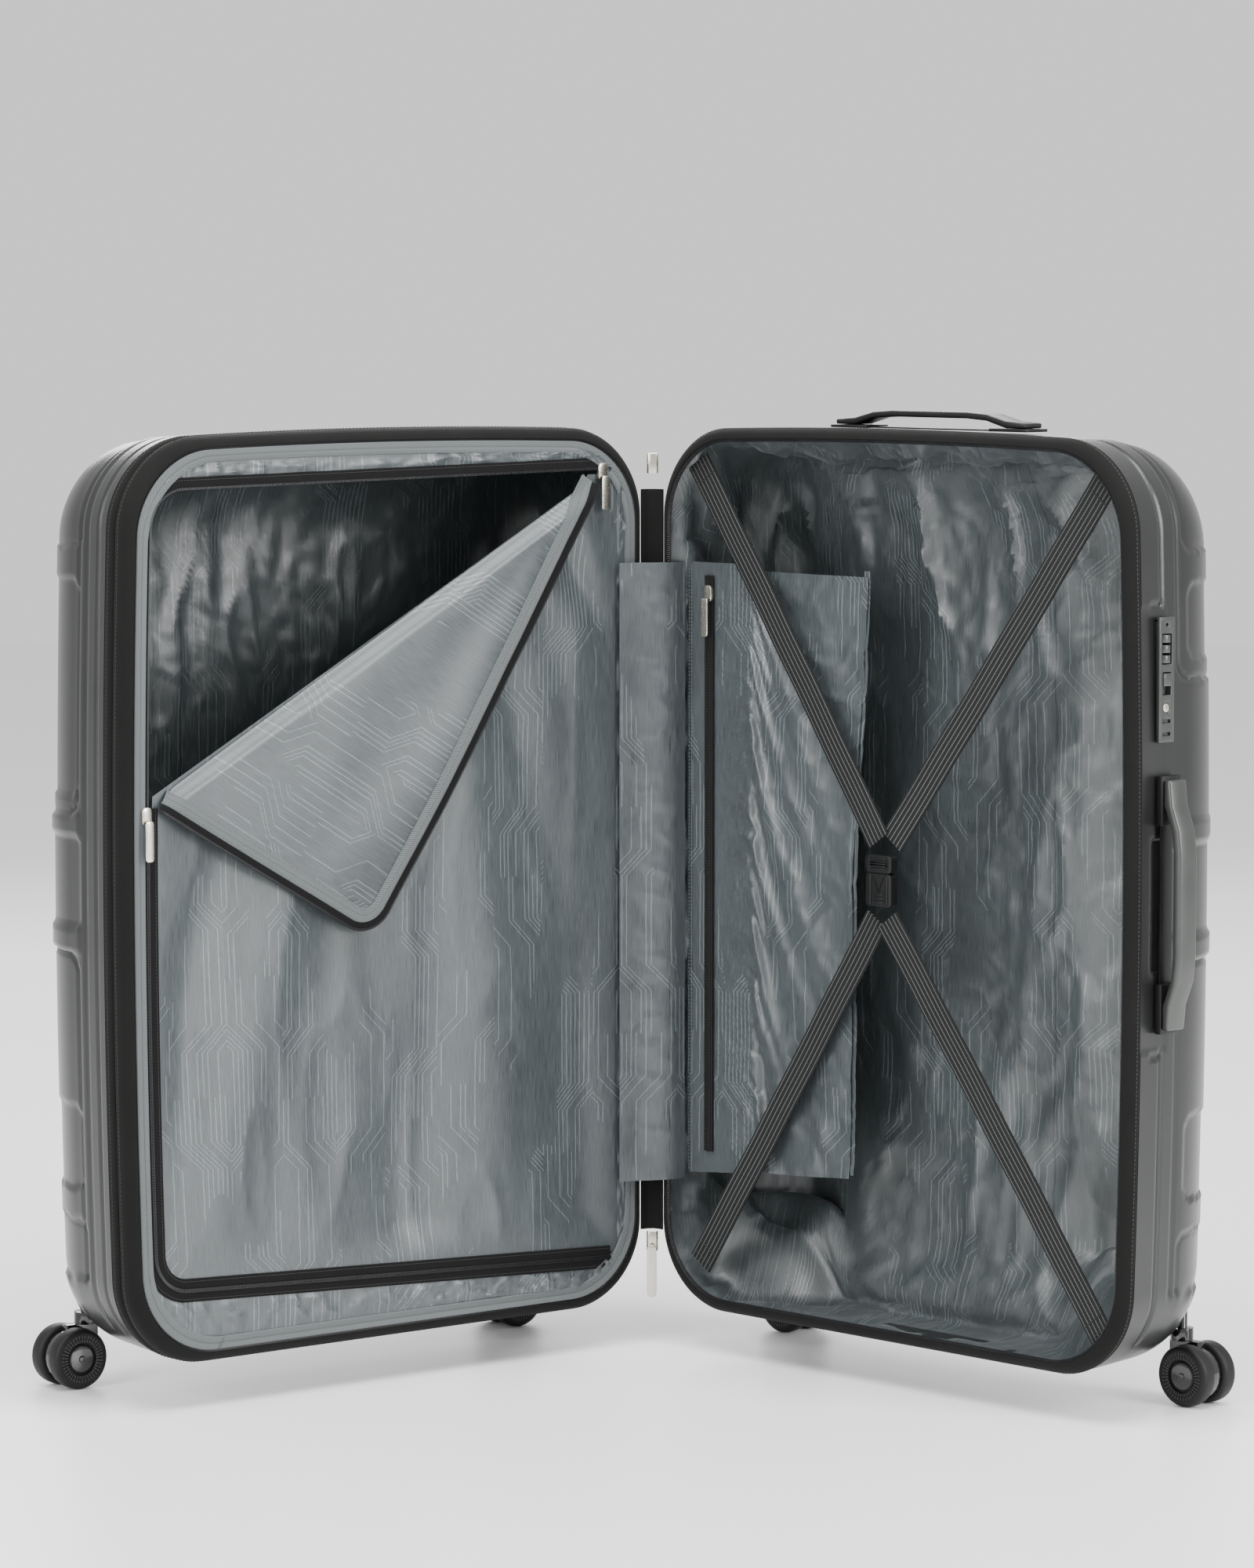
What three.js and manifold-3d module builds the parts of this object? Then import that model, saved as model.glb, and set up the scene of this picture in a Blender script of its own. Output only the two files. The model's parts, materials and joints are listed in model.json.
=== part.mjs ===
// Hard shell suitcase on four twin-wheel casters, standing open like a book.
// Each half is drawn in its own frame: x runs from the hinge side to the free side, y is the depth
// from the shell's rim towards its back (so negative y is on the opening side), z is up from the
// bottom of the shell. The two halves then turn about one vertical hinge line at the world's z axis.
// Millimetres.

import * as THREE from "three";
import { mergeVertices } from "three/addons/utils/BufferGeometryUtils.js";
import Module from "manifold-3d";

const wasm = await Module();
wasm.setup();

// ---- driving dimensions -------------------------------------------------------------------------

const SHELL_WIDTH = 520;
const SHELL_HEIGHT = 745;
const SHELL_DEPTH = 138;
const SIDE_BOW = 8; // how far the free side bulges at mid height
const TOP_BOW = 6; // how far the top bulges at mid width
const CORNER_RADIUS = 70; // seen from the front, at the rim
const CORNER_TIGHTEN = 0.35; // the corners tighten by this share of the inset
const BACK_RADIUS = 85; // rounding between the walls and the back
const DRAFT = 2; // the walls lean in by this much
const WALL = 2.2;
const GAP = 0.35; // between pieces that touch on the real object
const OPEN_ANGLE = THREE.MathUtils.degToRad(97); // between the two rims as it stands
const HALF_TURN = (Math.PI - OPEN_ANGLE) / 2;

const HINGE_OUT = 8; // hinge line outside the hinge-side wall
const BACK_BAND = 13; // textile band of the back half, and how far its zip stands off the shell
const FRONT_BAND = 11; // band sewn to the front shell
const FRONT_ZIP = 30; // zip of the front half, beyond the expander band
const BAND_CURL = 8; // how far a band curls in before it meets the zip
const BAND_THICK = 2.4;

const GROUND = 37; // the shell's bottom above the floor
const CASTER_HINGE_X = 52; // swivel axes from the hinge side
const CASTER_FREE_X = 466;
const CASTER_DEPTH = 118;
const TRAIL = 16; // axle behind the swivel axis
const WHEEL_RADIUS = 25;
const WHEEL_WIDTH = 15;
const WHEEL_BORE = 3.3;
const AXLE_RADIUS = 3;
const FENDER_WIDTH = 9;
const STEM_RADIUS = 4.4;
const HOUSING_RADIUS = 50;
const HOUSING_HEIGHT = 50;
const HOUSING_WALL = 3.4;
const HOUSING_CEILING = 24;
const HOUSING_PROUD = 0.8;

const TROLLEY_X = [180, 340]; // the two telescopic legs
const TROLLEY_DEPTH = 110;
const OUTER_TUBE = [20, 15];
const INNER_TUBE = [16, 11];
const TUBE_WALL = 1.3;
const CUP_FLOOR = 672;
const GRIP_BOTTOM = 698;

const CORNER_STEPS = 5;
const SIDE_STEPS = 4;
const BACK_STEPS = 5;

// ---- materials ----------------------------------------------------------------------------------

const looks = {
  shell: { color: 0x4a4d50, roughness: 0.45, metalness: 0.35 },
  lining: { color: 0x5c666a, roughness: 0.5, metalness: 0 },
  textile: { color: 0x1c1c1c, roughness: 0.9, metalness: 0 },
  plastic: { color: 0x1a1a1b, roughness: 0.4, metalness: 0 },
  nickel: { color: 0xc4c0b4, roughness: 0.3, metalness: 0.9 },
  aluminium: { color: 0xb0b2b5, roughness: 0.35, metalness: 0.9 },
  tyre: { color: 0x19191a, roughness: 0.6, metalness: 0 },
};

// ---- solids: three.js geometry turned into closed bodies that can be joined and cut -------------

function solid(geometry) {
  const bare = geometry.clone();
  for (const key of Object.keys(bare.attributes)) {
    if (key !== "position") bare.deleteAttribute(key);
  }
  const merged = mergeVertices(bare, 1e-4);
  const triVerts = new Uint32Array(merged.index.array);
  const vertProperties = new Float32Array(merged.attributes.position.array);
  return new wasm.Manifold(new wasm.Mesh({ numProp: 3, vertProperties, triVerts }));
}

function geometryOf(body) {
  const mesh = body.getMesh();
  const geometry = new THREE.BufferGeometry();
  geometry.setAttribute("position", new THREE.BufferAttribute(mesh.vertProperties, 3));
  geometry.setIndex(new THREE.BufferAttribute(mesh.triVerts, 1));
  const faceted = geometry.toNonIndexed();
  faceted.computeVertexNormals();
  return faceted;
}

function join(...bodies) {
  return bodies.reduce((whole, body) => whole.add(body));
}

function cut(body, ...tools) {
  return tools.reduce((rest, tool) => rest.subtract(tool), body);
}

// Box between two opposite corners.
function block(low, high) {
  const size = high.map((value, axis) => value - low[axis]);
  const centre = high.map((value, axis) => (value + low[axis]) / 2);
  return solid(new THREE.BoxGeometry(...size).translate(...centre));
}

// Round bar along z, y or x between two heights on that axis; at gives the other two coordinates.
function bar(axis, radius, from, to, at, sides = 20) {
  const geometry = new THREE.CylinderGeometry(radius, radius, to - from, sides);
  const middle = (from + to) / 2;
  if (axis === "z") return solid(geometry.rotateX(Math.PI / 2).translate(at[0], at[1], middle));
  if (axis === "y") return solid(geometry.translate(at[0], middle, at[1]));
  return solid(geometry.rotateZ(Math.PI / 2).translate(middle, at[0], at[1]));
}

// Flat plate with an outline in the x-z plane, between two depths.
function plate(points, near, far) {
  const geometry = new THREE.ExtrudeGeometry(new THREE.Shape(points), {
    depth: far - near,
    bevelEnabled: false,
  });
  return solid(geometry.rotateX(Math.PI / 2).translate(0, far, 0));
}

// Flat plate with an outline in the x-y plane, between two heights.
function slab(points, low, high) {
  const geometry = new THREE.ExtrudeGeometry(new THREE.Shape(points), {
    depth: high - low,
    bevelEnabled: false,
  });
  return solid(geometry.translate(0, 0, low));
}

function vectors(pairs) {
  return pairs.map(([a, b]) => new THREE.Vector2(a, b));
}

// Rectangle with round corners, as outline points.
function roundedRect(x0, x1, z0, z1, radius, steps = 3) {
  const points = [];
  const corners = [
    [x1 - radius, z0 + radius, -90],
    [x1 - radius, z1 - radius, 0],
    [x0 + radius, z1 - radius, 90],
    [x0 + radius, z0 + radius, 180],
  ];
  for (const [x, z, start] of corners) {
    for (let step = 0; step <= steps; step++) {
      const angle = THREE.MathUtils.degToRad(start + (90 * step) / steps);
      points.push(new THREE.Vector2(x + radius * Math.cos(angle), z + radius * Math.sin(angle)));
    }
  }
  return points;
}

// Skin over a row of rings with equal point counts: a loop of rings closes on itself, otherwise the
// first and last ring get flat ends.
function loft(rings, loop = false) {
  const count = rings[0].length;
  const points = rings.flat();
  const faces = [];
  const spans = loop ? rings.length : rings.length - 1;
  for (let row = 0; row < spans; row++) {
    const a = row * count;
    const b = ((row + 1) % rings.length) * count;
    for (let i = 0; i < count; i++) {
      const j = (i + 1) % count;
      faces.push([a + i, a + j, b + j], [a + i, b + j, b + i]);
    }
  }
  if (!loop) {
    for (const [start, turned] of [[0, true], [(rings.length - 1) * count, false]]) {
      const middle = new THREE.Vector3();
      for (let i = 0; i < count; i++) middle.add(points[start + i]);
      points.push(middle.divideScalar(count));
      for (let i = 0; i < count; i++) {
        const pair = [start + i, start + ((i + 1) % count)];
        faces.push([...(turned ? pair.reverse() : pair), points.length - 1]);
      }
    }
  }
  let volume = 0;
  for (const [a, b, c] of faces) volume += points[a].dot(points[b].clone().cross(points[c]));
  const geometry = new THREE.BufferGeometry().setFromPoints(points);
  geometry.setIndex(faces.flatMap((face) => (volume < 0 ? face.reverse() : face)));
  return solid(geometry);
}

// ---- the case outline ---------------------------------------------------------------------------

// A point of the straight-sided rounded rectangle, moved out with the bulging side and top.
function bulge(point) {
  const across = point.x / (SHELL_WIDTH - SIDE_BOW);
  const up = point.y / (SHELL_HEIGHT - TOP_BOW);
  return new THREE.Vector2(
    point.x + SIDE_BOW * across * 4 * up * (1 - up),
    point.y + TOP_BOW * up * 4 * across * (1 - across),
  );
}

// The rim seen from the front, moved in by inset.
function outline(inset) {
  const radius = CORNER_RADIUS - inset * CORNER_TIGHTEN;
  const right = SHELL_WIDTH - SIDE_BOW - inset;
  const top = SHELL_HEIGHT - TOP_BOW - inset;
  const corners = roundedRect(inset, right, inset, top, radius, CORNER_STEPS);
  const points = [];
  corners.forEach((point, i) => {
    points.push(point);
    if (i % (CORNER_STEPS + 1) === CORNER_STEPS) {
      const next = corners[(i + 1) % corners.length];
      for (let s = 1; s < SIDE_STEPS; s++) points.push(point.clone().lerp(next, s / SIDE_STEPS));
    }
  });
  return points.map(bulge);
}

function ring([inset, depth]) {
  return outline(inset).map((point) => new THREE.Vector3(point.x, depth, point.y));
}

// Inset and depth pairs along the wall and round to the back, for a skin offset inwards.
function wallProfile(offset, start) {
  const turn = SHELL_DEPTH - BACK_RADIUS;
  const profile = [[offset, start], [DRAFT + offset, turn]];
  for (let step = 1; step <= BACK_STEPS; step++) {
    const angle = (Math.PI / 2) * (step / BACK_STEPS);
    const radius = BACK_RADIUS - offset;
    profile.push([
      DRAFT + BACK_RADIUS - radius * Math.cos(angle),
      turn + radius * Math.sin(angle),
    ]);
  }
  return profile;
}

// Everything inside the case's skin at an offset, as one filled body.
function filledCase(offset, start = 0) {
  return loft(wallProfile(offset, start).map(ring));
}

// x of the free side's outer surface.
function freeWall(height, depth) {
  const up = height / (SHELL_HEIGHT - TOP_BOW);
  const lean = (DRAFT * depth) / (SHELL_DEPTH - BACK_RADIUS);
  return SHELL_WIDTH - SIDE_BOW + SIDE_BOW * 4 * up * (1 - up) - lean;
}

// Cutters for the caster corners and, on the back half, for the trolley cup.
function housingCutter(x, extra) {
  return bar("z", HOUSING_RADIUS + extra, -20, HOUSING_HEIGHT + extra, [x, CASTER_DEPTH], 32);
}

function cupCutter(extra) {
  return block([158 - extra, 94 - extra, CUP_FLOOR - extra], [362 + extra, 160, 760]);
}

const casterColumns = { hinge: CASTER_HINGE_X, outer: CASTER_FREE_X };

function tray() {
  const outer = wallProfile(0, 0).map(ring);
  const inner = wallProfile(WALL, 0).map(ring);
  const whole = loft([...outer.reverse(), ...inner]);
  const corners = Object.values(casterColumns).map((x) => housingCutter(x, GAP));
  return cut(whole, ...corners);
}

// A fabric lining draped over whatever stands inside the shell.
function lining(...bumps) {
  const fold = 1.2;
  const outside = cut(filledCase(WALL + 0.8, 1), ...bumps.map((bump) => bump(0.8)));
  const inside = cut(filledCase(WALL + 0.8 + fold, -5), ...bumps.map((bump) => bump(0.8 + fold)));
  return cut(outside, inside);
}

// A textile band round the rim, from the shell's edge (near) out to its zip (far), curling in.
function rimBand(near, far, curl) {
  const reach = near - far;
  const outer = [
    [0.3, near],
    [0.3 + curl * 0.12, near - reach * 0.45],
    [0.3 + curl * 0.45, near - reach * 0.8],
    [curl, far],
  ];
  const inner = outer.map(([inset, depth]) => [inset + BAND_THICK, depth]).reverse();
  return loft([...outer, ...inner].map(ring), true);
}

// ---- casters ------------------------------------------------------------------------------------

const AXLE_HEIGHT = WHEEL_RADIUS - GROUND;

function housing(x) {
  const skin = filledCase(-HOUSING_PROUD);
  const bowl = bar("z", HOUSING_RADIUS - HOUSING_WALL, -30, HOUSING_CEILING, [x, CASTER_DEPTH], 32);
  const socket = bar("z", STEM_RADIUS + 0.4, 0, 42, [x, CASTER_DEPTH], 16);
  return cut(housingCutter(x, 0).intersect(skin), bowl, socket);
}

// Fork: stem, collar, arm, fender disc between the wheels, and the axle through both wheels.
function fork(x, side) {
  const axleX = x + side * TRAIL;
  const half = FENDER_WIDTH / 2;
  const y = CASTER_DEPTH;
  const armX = [x - side * 9, axleX + side * 4].sort((a, b) => a - b);
  return join(
    bar("z", STEM_RADIUS, 10, 38, [x, y], 16),
    bar("z", 9.5, 13.4, HOUSING_CEILING - 0.6, [x, y], 20),
    block([armX[0], y - half, AXLE_HEIGHT], [armX[1], y + half, 14]),
    bar("y", 21.5, y - half, y + half, [axleX, AXLE_HEIGHT], 24),
    bar("y", AXLE_RADIUS, y - 20.5, y + 20.5, [axleX, AXLE_HEIGHT], 12),
  );
}

// Wheel profile round its own axis: bore, hub face, tread with soft shoulders.
function wheel(x, y) {
  const w = WHEEL_WIDTH / 2;
  const profile = vectors([
    [WHEEL_BORE, -w],
    [WHEEL_RADIUS - 4, -w],
    [WHEEL_RADIUS, -w + 4],
    [WHEEL_RADIUS, w - 4],
    [WHEEL_RADIUS - 4, w],
    [WHEEL_BORE, w],
    [WHEEL_BORE, -w],
  ]);
  return solid(new THREE.LatheGeometry(profile, 24).translate(x, y, AXLE_HEIGHT));
}

// ---- telescopic trolley handle ------------------------------------------------------------------

function tube([width, depth], x, low, high) {
  const y = TROLLEY_DEPTH;
  const inner = [width / 2 - TUBE_WALL, depth / 2 - TUBE_WALL];
  return cut(
    block([x - width / 2, y - depth / 2, low], [x + width / 2, y + depth / 2, high]),
    block([x - inner[0], y - inner[1], low - 1], [x + inner[0], y + inner[1], high + 1]),
  );
}

function outerTubes() {
  const foot = block([162, 101, 41], [358, 117.6, 53]);
  const legs = TROLLEY_X.map((x) => tube(OUTER_TUBE, x, 52.8, CUP_FLOOR - GAP));
  return join(foot, ...legs);
}

function trolleyCup() {
  const pocket = block([163, 98, CUP_FLOOR + 4], [357, 170, 770]);
  const holes = TROLLEY_X.map((x) =>
    block([x - 8.6, TROLLEY_DEPTH - 6.1, 600], [x + 8.6, TROLLEY_DEPTH + 6.1, 700]),
  );
  return cut(cupCutter(0).intersect(filledCase(-0.6)), pocket, ...holes);
}

// The grip bridges the legs: two blocks and a rounded bar with a well for the button.
function trolleyGrip() {
  const outlineXZ = roundedRect(167, 353, GRIP_BOTTOM, GRIP_BOTTOM + 23, 7);
  const body = plate(outlineXZ, 101, 119);
  const reach = roundedRect(196, 324, GRIP_BOTTOM - 12, GRIP_BOTTOM + 7, 6);
  const well = block([247, 104, GRIP_BOTTOM + 16], [273, 116, GRIP_BOTTOM + 30]);
  return cut(body, plate(reach, 90, 130), well);
}

function trolleyButton() {
  const top = GRIP_BOTTOM + 25;
  return plate(roundedRect(247.5, 272.5, top - 5, top, 1.5, 2), 104.5, 115.5);
}

// ---- carry handles ------------------------------------------------------------------------------

// A low arch between two ends: outline along the handle, thick at the ends and slim in the middle.
function archOutline(from, to, base, rise, thick) {
  const steps = 10;
  const upper = [];
  const lower = [];
  for (let step = 0; step <= steps; step++) {
    const t = step / steps;
    const along = from + (to - from) * t;
    const lift = Math.min(1, Math.sin(Math.PI * t) * 1.5) * rise;
    const under = step > 1 && step < steps - 1 ? lift - thick : 0;
    upper.push([along, base + Math.max(lift, thick * 0.8)]);
    lower.push([along, base + Math.max(under, 0)]);
  }
  return vectors([...lower, ...upper.reverse()]);
}

const TOP_HANDLE = { from: 168, to: 373, near: 24, far: 46 };
const SIDE_HANDLE = { from: 280, to: 477, near: 17, far: 37 };

// Level just clear of the bulging top, at the handle's near edge.
const TOP_BASE = SHELL_HEIGHT - (DRAFT * (TOP_HANDLE.near - 2)) / (SHELL_DEPTH - BACK_RADIUS) + 0.3;

function topHandleMount() {
  const { from, to, near, far } = TOP_HANDLE;
  const cap = (x0, x1) => block([x0, near - 2, TOP_BASE], [x1, far + 2, TOP_BASE + 2.4]);
  const strip = block([from, near + 5, TOP_BASE], [to, far - 5, TOP_BASE + 1.2]);
  return join(cap(from - 4, from + 36), cap(to - 36, to + 4), strip);
}

function topHandleGrip() {
  const { from, to, near, far } = TOP_HANDLE;
  return plate(archOutline(from, to, TOP_BASE + 2.8, 12, 5), near, far);
}

function sideHandleMount() {
  const { from, to, near, far } = SIDE_HANDLE;
  const wall = freeWall((from + to) / 2, near) + 0.5;
  const pad = (low, high) => block([wall, near - 1, low], [wall + 6, far + 1, high]);
  return join(
    block([wall, near + 3, from], [wall + 1.6, far - 3, to]),
    pad(from - 3, from + 36),
    pad(to - 36, to + 3),
  );
}

function sideHandleGrip() {
  const { from, to, near, far } = SIDE_HANDLE;
  const wall = freeWall((from + to) / 2, near) + 6.9;
  const outlineXZ = archOutline(from, to, wall, 18, 8).map((p) => new THREE.Vector2(p.y, p.x));
  return plate(outlineXZ, near, far);
}

// ---- combination lock ---------------------------------------------------------------------------

const LOCK = { low: 506, high: 604, near: 16, far: 34 };
const LOCK_MIDDLE = (LOCK.near + LOCK.far) / 2;
const LOCK_FACE = freeWall(LOCK.low, LOCK.near) + 3.6;
const DIAL_HEIGHTS = [587, 579, 571];
const DIAL_RADIUS = 5.4;
const DIAL_THICK = 6;
const BUTTON_HEIGHT = 554;
const KEY_HEIGHT = 533;
const PULLER_SLOTS = [521, 511];

function lockCase() {
  const flange = freeWall(LOCK.low, LOCK.near) + 0.6;
  const cutter = (low, high, half, depth) =>
    block([LOCK_FACE - depth, LOCK_MIDDLE - half, low], [LOCK_FACE + 9, LOCK_MIDDLE + half, high]);
  return cut(
    join(
      block([flange, LOCK.near, LOCK.low], [LOCK_FACE, LOCK.far, LOCK.high]),
      block([flange - 18, LOCK.near + 2, LOCK.low + 4], [flange + 1, LOCK.far - 2, LOCK.high - 4]),
    ),
    cutter(DIAL_HEIGHTS[2] - 4, DIAL_HEIGHTS[0] + 4, DIAL_RADIUS + 0.4, 2 * DIAL_RADIUS),
    cutter(BUTTON_HEIGHT - 11, BUTTON_HEIGHT + 7, 5, 6),
    bar("x", 4, LOCK_FACE - 10, LOCK_FACE + 9, [LOCK_MIDDLE, KEY_HEIGHT], 16),
    ...PULLER_SLOTS.map((height) => cutter(height, height + 3, 5, 3)),
    bar("x", 1.5, LOCK_FACE - 3, LOCK_FACE + 9, [LOCK_MIDDLE, 598], 10),
  );
}

function lockWindow() {
  return block([480, LOCK.near + 1, LOCK.low + 3], [560, LOCK.far - 1, LOCK.high - 3]);
}

function lockBump(extra) {
  return block(
    [LOCK_FACE - 22 - extra, LOCK.near - extra, LOCK.low - extra],
    [560, LOCK.far + extra, LOCK.high + extra],
  );
}

function lockDial(height) {
  const x = LOCK_FACE - DIAL_RADIUS + 1.4;
  const half = DIAL_THICK / 2;
  return bar("z", DIAL_RADIUS, height - half, height + half, [x, LOCK_MIDDLE], 20);
}

// ---- strap, buckle and pocket panel of the back half --------------------------------------------

const STRAP_WIDTH = 25;
const STRAP_THICK = 1.2;
const BUCKLE_X = 246;

// A straight webbing strap from a rim corner to the level where it meets the buckle.
function strap(from, to, near) {
  const a = new THREE.Vector2(...from);
  const b = new THREE.Vector2(...to);
  const side = b.clone().sub(a).normalize().rotateAround(new THREE.Vector2(), Math.PI / 2);
  side.multiplyScalar(STRAP_WIDTH / 2);
  const points = [a.clone().add(side), a.clone().sub(side), b.clone().sub(side), b.clone().add(side)];
  return plate(points, near, near + STRAP_THICK);
}

function buckleSocket() {
  const shape = roundedRect(BUCKLE_X - 14, BUCKLE_X + 14, 357, 384, 4);
  const slot = block([BUCKLE_X - 10, -4.6, 363], [BUCKLE_X + 10, -0.9, 390]);
  return cut(plate(shape, -7, 1), slot);
}

function bucklePlug() {
  const head = plate(roundedRect(BUCKLE_X - 14, BUCKLE_X + 14, 384.5, 399, 4), -7, 1);
  const tongue = block([BUCKLE_X - 9.5, -4.2, 366], [BUCKLE_X + 9.5, -1.3, 386]);
  const window = block([BUCKLE_X - 10, -12, 390], [BUCKLE_X + 10, 6, 394]);
  return cut(join(head, tongue), window);
}

const POCKET_NEAR = 11;

function pocketPanel() {
  const page = vectors([[9, 110], [200, 128], [215, 628], [9, 629]]);
  return plate(page, POCKET_NEAR, POCKET_NEAR + 1.6);
}

// A zip slider's body and, standing in front of it, its flat puller tab.
function zipSlider(x, z, face) {
  return plate(roundedRect(x - 4.5, x + 4.5, z - 7, z + 7, 3, 2), face - 4.4, face - 0.3);
}

function zipPuller(x, top, face, length) {
  return plate(roundedRect(x - 4, x + 4, top - length, top + 2.4, 2.3, 2), face - 8.6, face - 7);
}

// ---- divider of the front half ------------------------------------------------------------------

const DIVIDER_NEAR = -28;
const DIVIDER_THICK = 1.8;
const PAGE = { hinge: 27, outer: 497, low: 66, high: 697, radius: 26 };
const FOLD_A = new THREE.Vector2(62, 696);
const FOLD_B = new THREE.Vector2(474, 465);

function pageOutline(grow) {
  const { hinge, outer, low, high, radius } = PAGE;
  return roundedRect(hinge - grow, outer + grow, low - grow, high + grow, radius + grow, 4);
}

// The part of a plate above the fold line, moved off that line by a distance.
function aboveFold(away) {
  const along = FOLD_B.clone().sub(FOLD_A).normalize();
  const up = new THREE.Vector2(-along.y, along.x);
  const shift = up.clone().multiplyScalar(away);
  const start = FOLD_A.clone().addScaledVector(along, -300).add(shift);
  const end = FOLD_B.clone().addScaledVector(along, 300).add(shift);
  const far = up.clone().multiplyScalar(600);
  return plate([start, end, end.clone().add(far), start.clone().add(far)], -60, 60);
}

function dividerFrame() {
  const sheet = loft([[12, DIVIDER_NEAR], [12, DIVIDER_NEAR + DIVIDER_THICK]].map(ring));
  return cut(sheet, plate(pageOutline(GAP), -60, 60));
}

function dividerPage() {
  const page = plate(pageOutline(0), DIVIDER_NEAR, DIVIDER_NEAR + DIVIDER_THICK);
  return cut(page, aboveFold(-2));
}

// The unzipped corner, drawn where it closes and then turned half a turn about the fold line.
function dividerFlap() {
  const page = plate(pageOutline(-1.5), DIVIDER_NEAR, DIVIDER_NEAR + DIVIDER_THICK);
  return page.intersect(aboveFold(3));
}

const FOLD_DEPTH = DIVIDER_NEAR - 1.2;

// ---- assembly -----------------------------------------------------------------------------------

const suitcase = new THREE.Group();
const back = new THREE.Group();
const front = new THREE.Group();
const spine = new THREE.Group();
suitcase.add(back, front, spine);

function place(group, name, body, look) {
  const mesh = new THREE.Mesh(geometryOf(body), new THREE.MeshStandardMaterial(looks[look]));
  mesh.name = name;
  group.add(mesh);
  return mesh;
}

function hang(group, mirror, zip) {
  const x = HINGE_OUT * Math.cos(HALF_TURN) + zip * Math.sin(HALF_TURN);
  const y = zip * Math.cos(HALF_TURN) - HINGE_OUT * Math.sin(HALF_TURN);
  group.position.set(mirror * x, y, 0);
  group.rotation.z = -mirror * HALF_TURN;
  group.scale.x = mirror;
}

hang(back, 1, BACK_BAND);
hang(front, -1, FRONT_ZIP);

// Back half: shell, band, lining.
place(back, "back_shell", cut(tray(), cupCutter(GAP), lockWindow()), "shell");
place(back, "back_rim_band", rimBand(-GAP, GAP - BACK_BAND, BAND_CURL), "textile");
const cornerBumps = Object.values(casterColumns).map((x) => (extra) => housingCutter(x, extra));
const trolleyBump = (extra) => block([160 - extra, 97 - extra, -10], [360 + extra, 200, 760]);
const cupBump = (extra) => cupCutter(extra);
place(back, "back_lining", lining(...cornerBumps, trolleyBump, cupBump, lockBump), "lining");

// Cross straps and buckle.
place(back, "strap_upper_hinge", strap([40, 706], [241, 410], -1.6), "textile");
place(back, "strap_upper_outer", strap([474, 700], [254, 410], 0.1), "textile");
place(back, "strap_lower_hinge", strap([42, 46], [238, 346], 0.1), "textile");
place(back, "strap_lower_outer", strap([474, 42], [251, 346], -1.6), "textile");
place(back, "buckle_socket", buckleSocket(), "plastic");
place(back, "buckle_plug", bucklePlug(), "plastic");

// Pocket page with its zip.
place(back, "pocket_panel", pocketPanel(), "lining");
place(back, "pocket_zip_slider", zipSlider(37, 603, POCKET_NEAR), "nickel");
place(back, "pocket_zip_puller", zipPuller(37, 597, POCKET_NEAR, 30), "nickel");

// Lock.
place(back, "lock_case", lockCase(), "plastic");
DIAL_HEIGHTS.forEach((height, i) => {
  place(back, `lock_dial_${i + 1}`, lockDial(height), "plastic");
});
const buttonFace = LOCK_FACE + 1.2;
place(
  back,
  "lock_release_button",
  block([buttonFace - 6, LOCK_MIDDLE - 4.6, BUTTON_HEIGHT - 4], [buttonFace, LOCK_MIDDLE + 4.6, BUTTON_HEIGHT + 6]),
  "plastic",
);
place(
  back,
  "lock_key_cylinder",
  bar("x", 3.6, LOCK_FACE - 9, LOCK_FACE - 0.3, [LOCK_MIDDLE, KEY_HEIGHT], 16),
  "nickel",
);

// Carry handles.
place(back, "side_handle_mount", sideHandleMount(), "plastic");
place(back, "side_handle_grip", sideHandleGrip(), "plastic");
place(back, "top_handle_mount", topHandleMount(), "plastic");
place(back, "top_handle_grip", topHandleGrip(), "plastic");

// Trolley.
place(back, "trolley_cup", trolleyCup(), "plastic");
place(back, "trolley_tube_frame", outerTubes(), "aluminium");
TROLLEY_X.forEach((x, i) => {
  place(back, `trolley_inner_tube_${i + 1}`, tube(INNER_TUBE, x, 60, GRIP_BOTTOM - GAP), "aluminium");
});
place(back, "trolley_grip", trolleyGrip(), "plastic");
place(back, "trolley_button", trolleyButton(), "plastic");

// Front half: shell, band, expander band, lining, divider.
place(front, "front_shell", tray(), "shell");
place(front, "front_rim_band", rimBand(-GAP, -FRONT_BAND, 1), "textile");
place(front, "expander_band", rimBand(-FRONT_BAND - 1, GAP - FRONT_ZIP, BAND_CURL), "textile");
place(front, "front_lining", lining(...cornerBumps), "lining");
place(front, "divider_frame", dividerFrame(), "lining");
place(front, "divider_page", dividerPage(), "lining");
const turned = new THREE.Group();
const foldAxis = new THREE.Vector3(FOLD_B.x - FOLD_A.x, 0, FOLD_B.y - FOLD_A.y).normalize();
const foldPoint = new THREE.Vector3(FOLD_A.x, FOLD_DEPTH, FOLD_A.y);
turned.quaternion.setFromAxisAngle(foldAxis, Math.PI);
turned.position.copy(foldPoint).sub(foldPoint.clone().applyQuaternion(turned.quaternion));
front.add(turned);
place(turned, "divider_flap", dividerFlap(), "lining");
place(front, "divider_slider_top", zipSlider(46, 706, DIVIDER_NEAR), "nickel");
place(front, "divider_puller_top", zipPuller(46, 700, DIVIDER_NEAR, 26), "nickel");
place(front, "divider_slider_side", zipSlider(499, 444, DIVIDER_NEAR), "nickel");
place(front, "divider_puller_side", zipPuller(499, 438, DIVIDER_NEAR, 30), "nickel");

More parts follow.
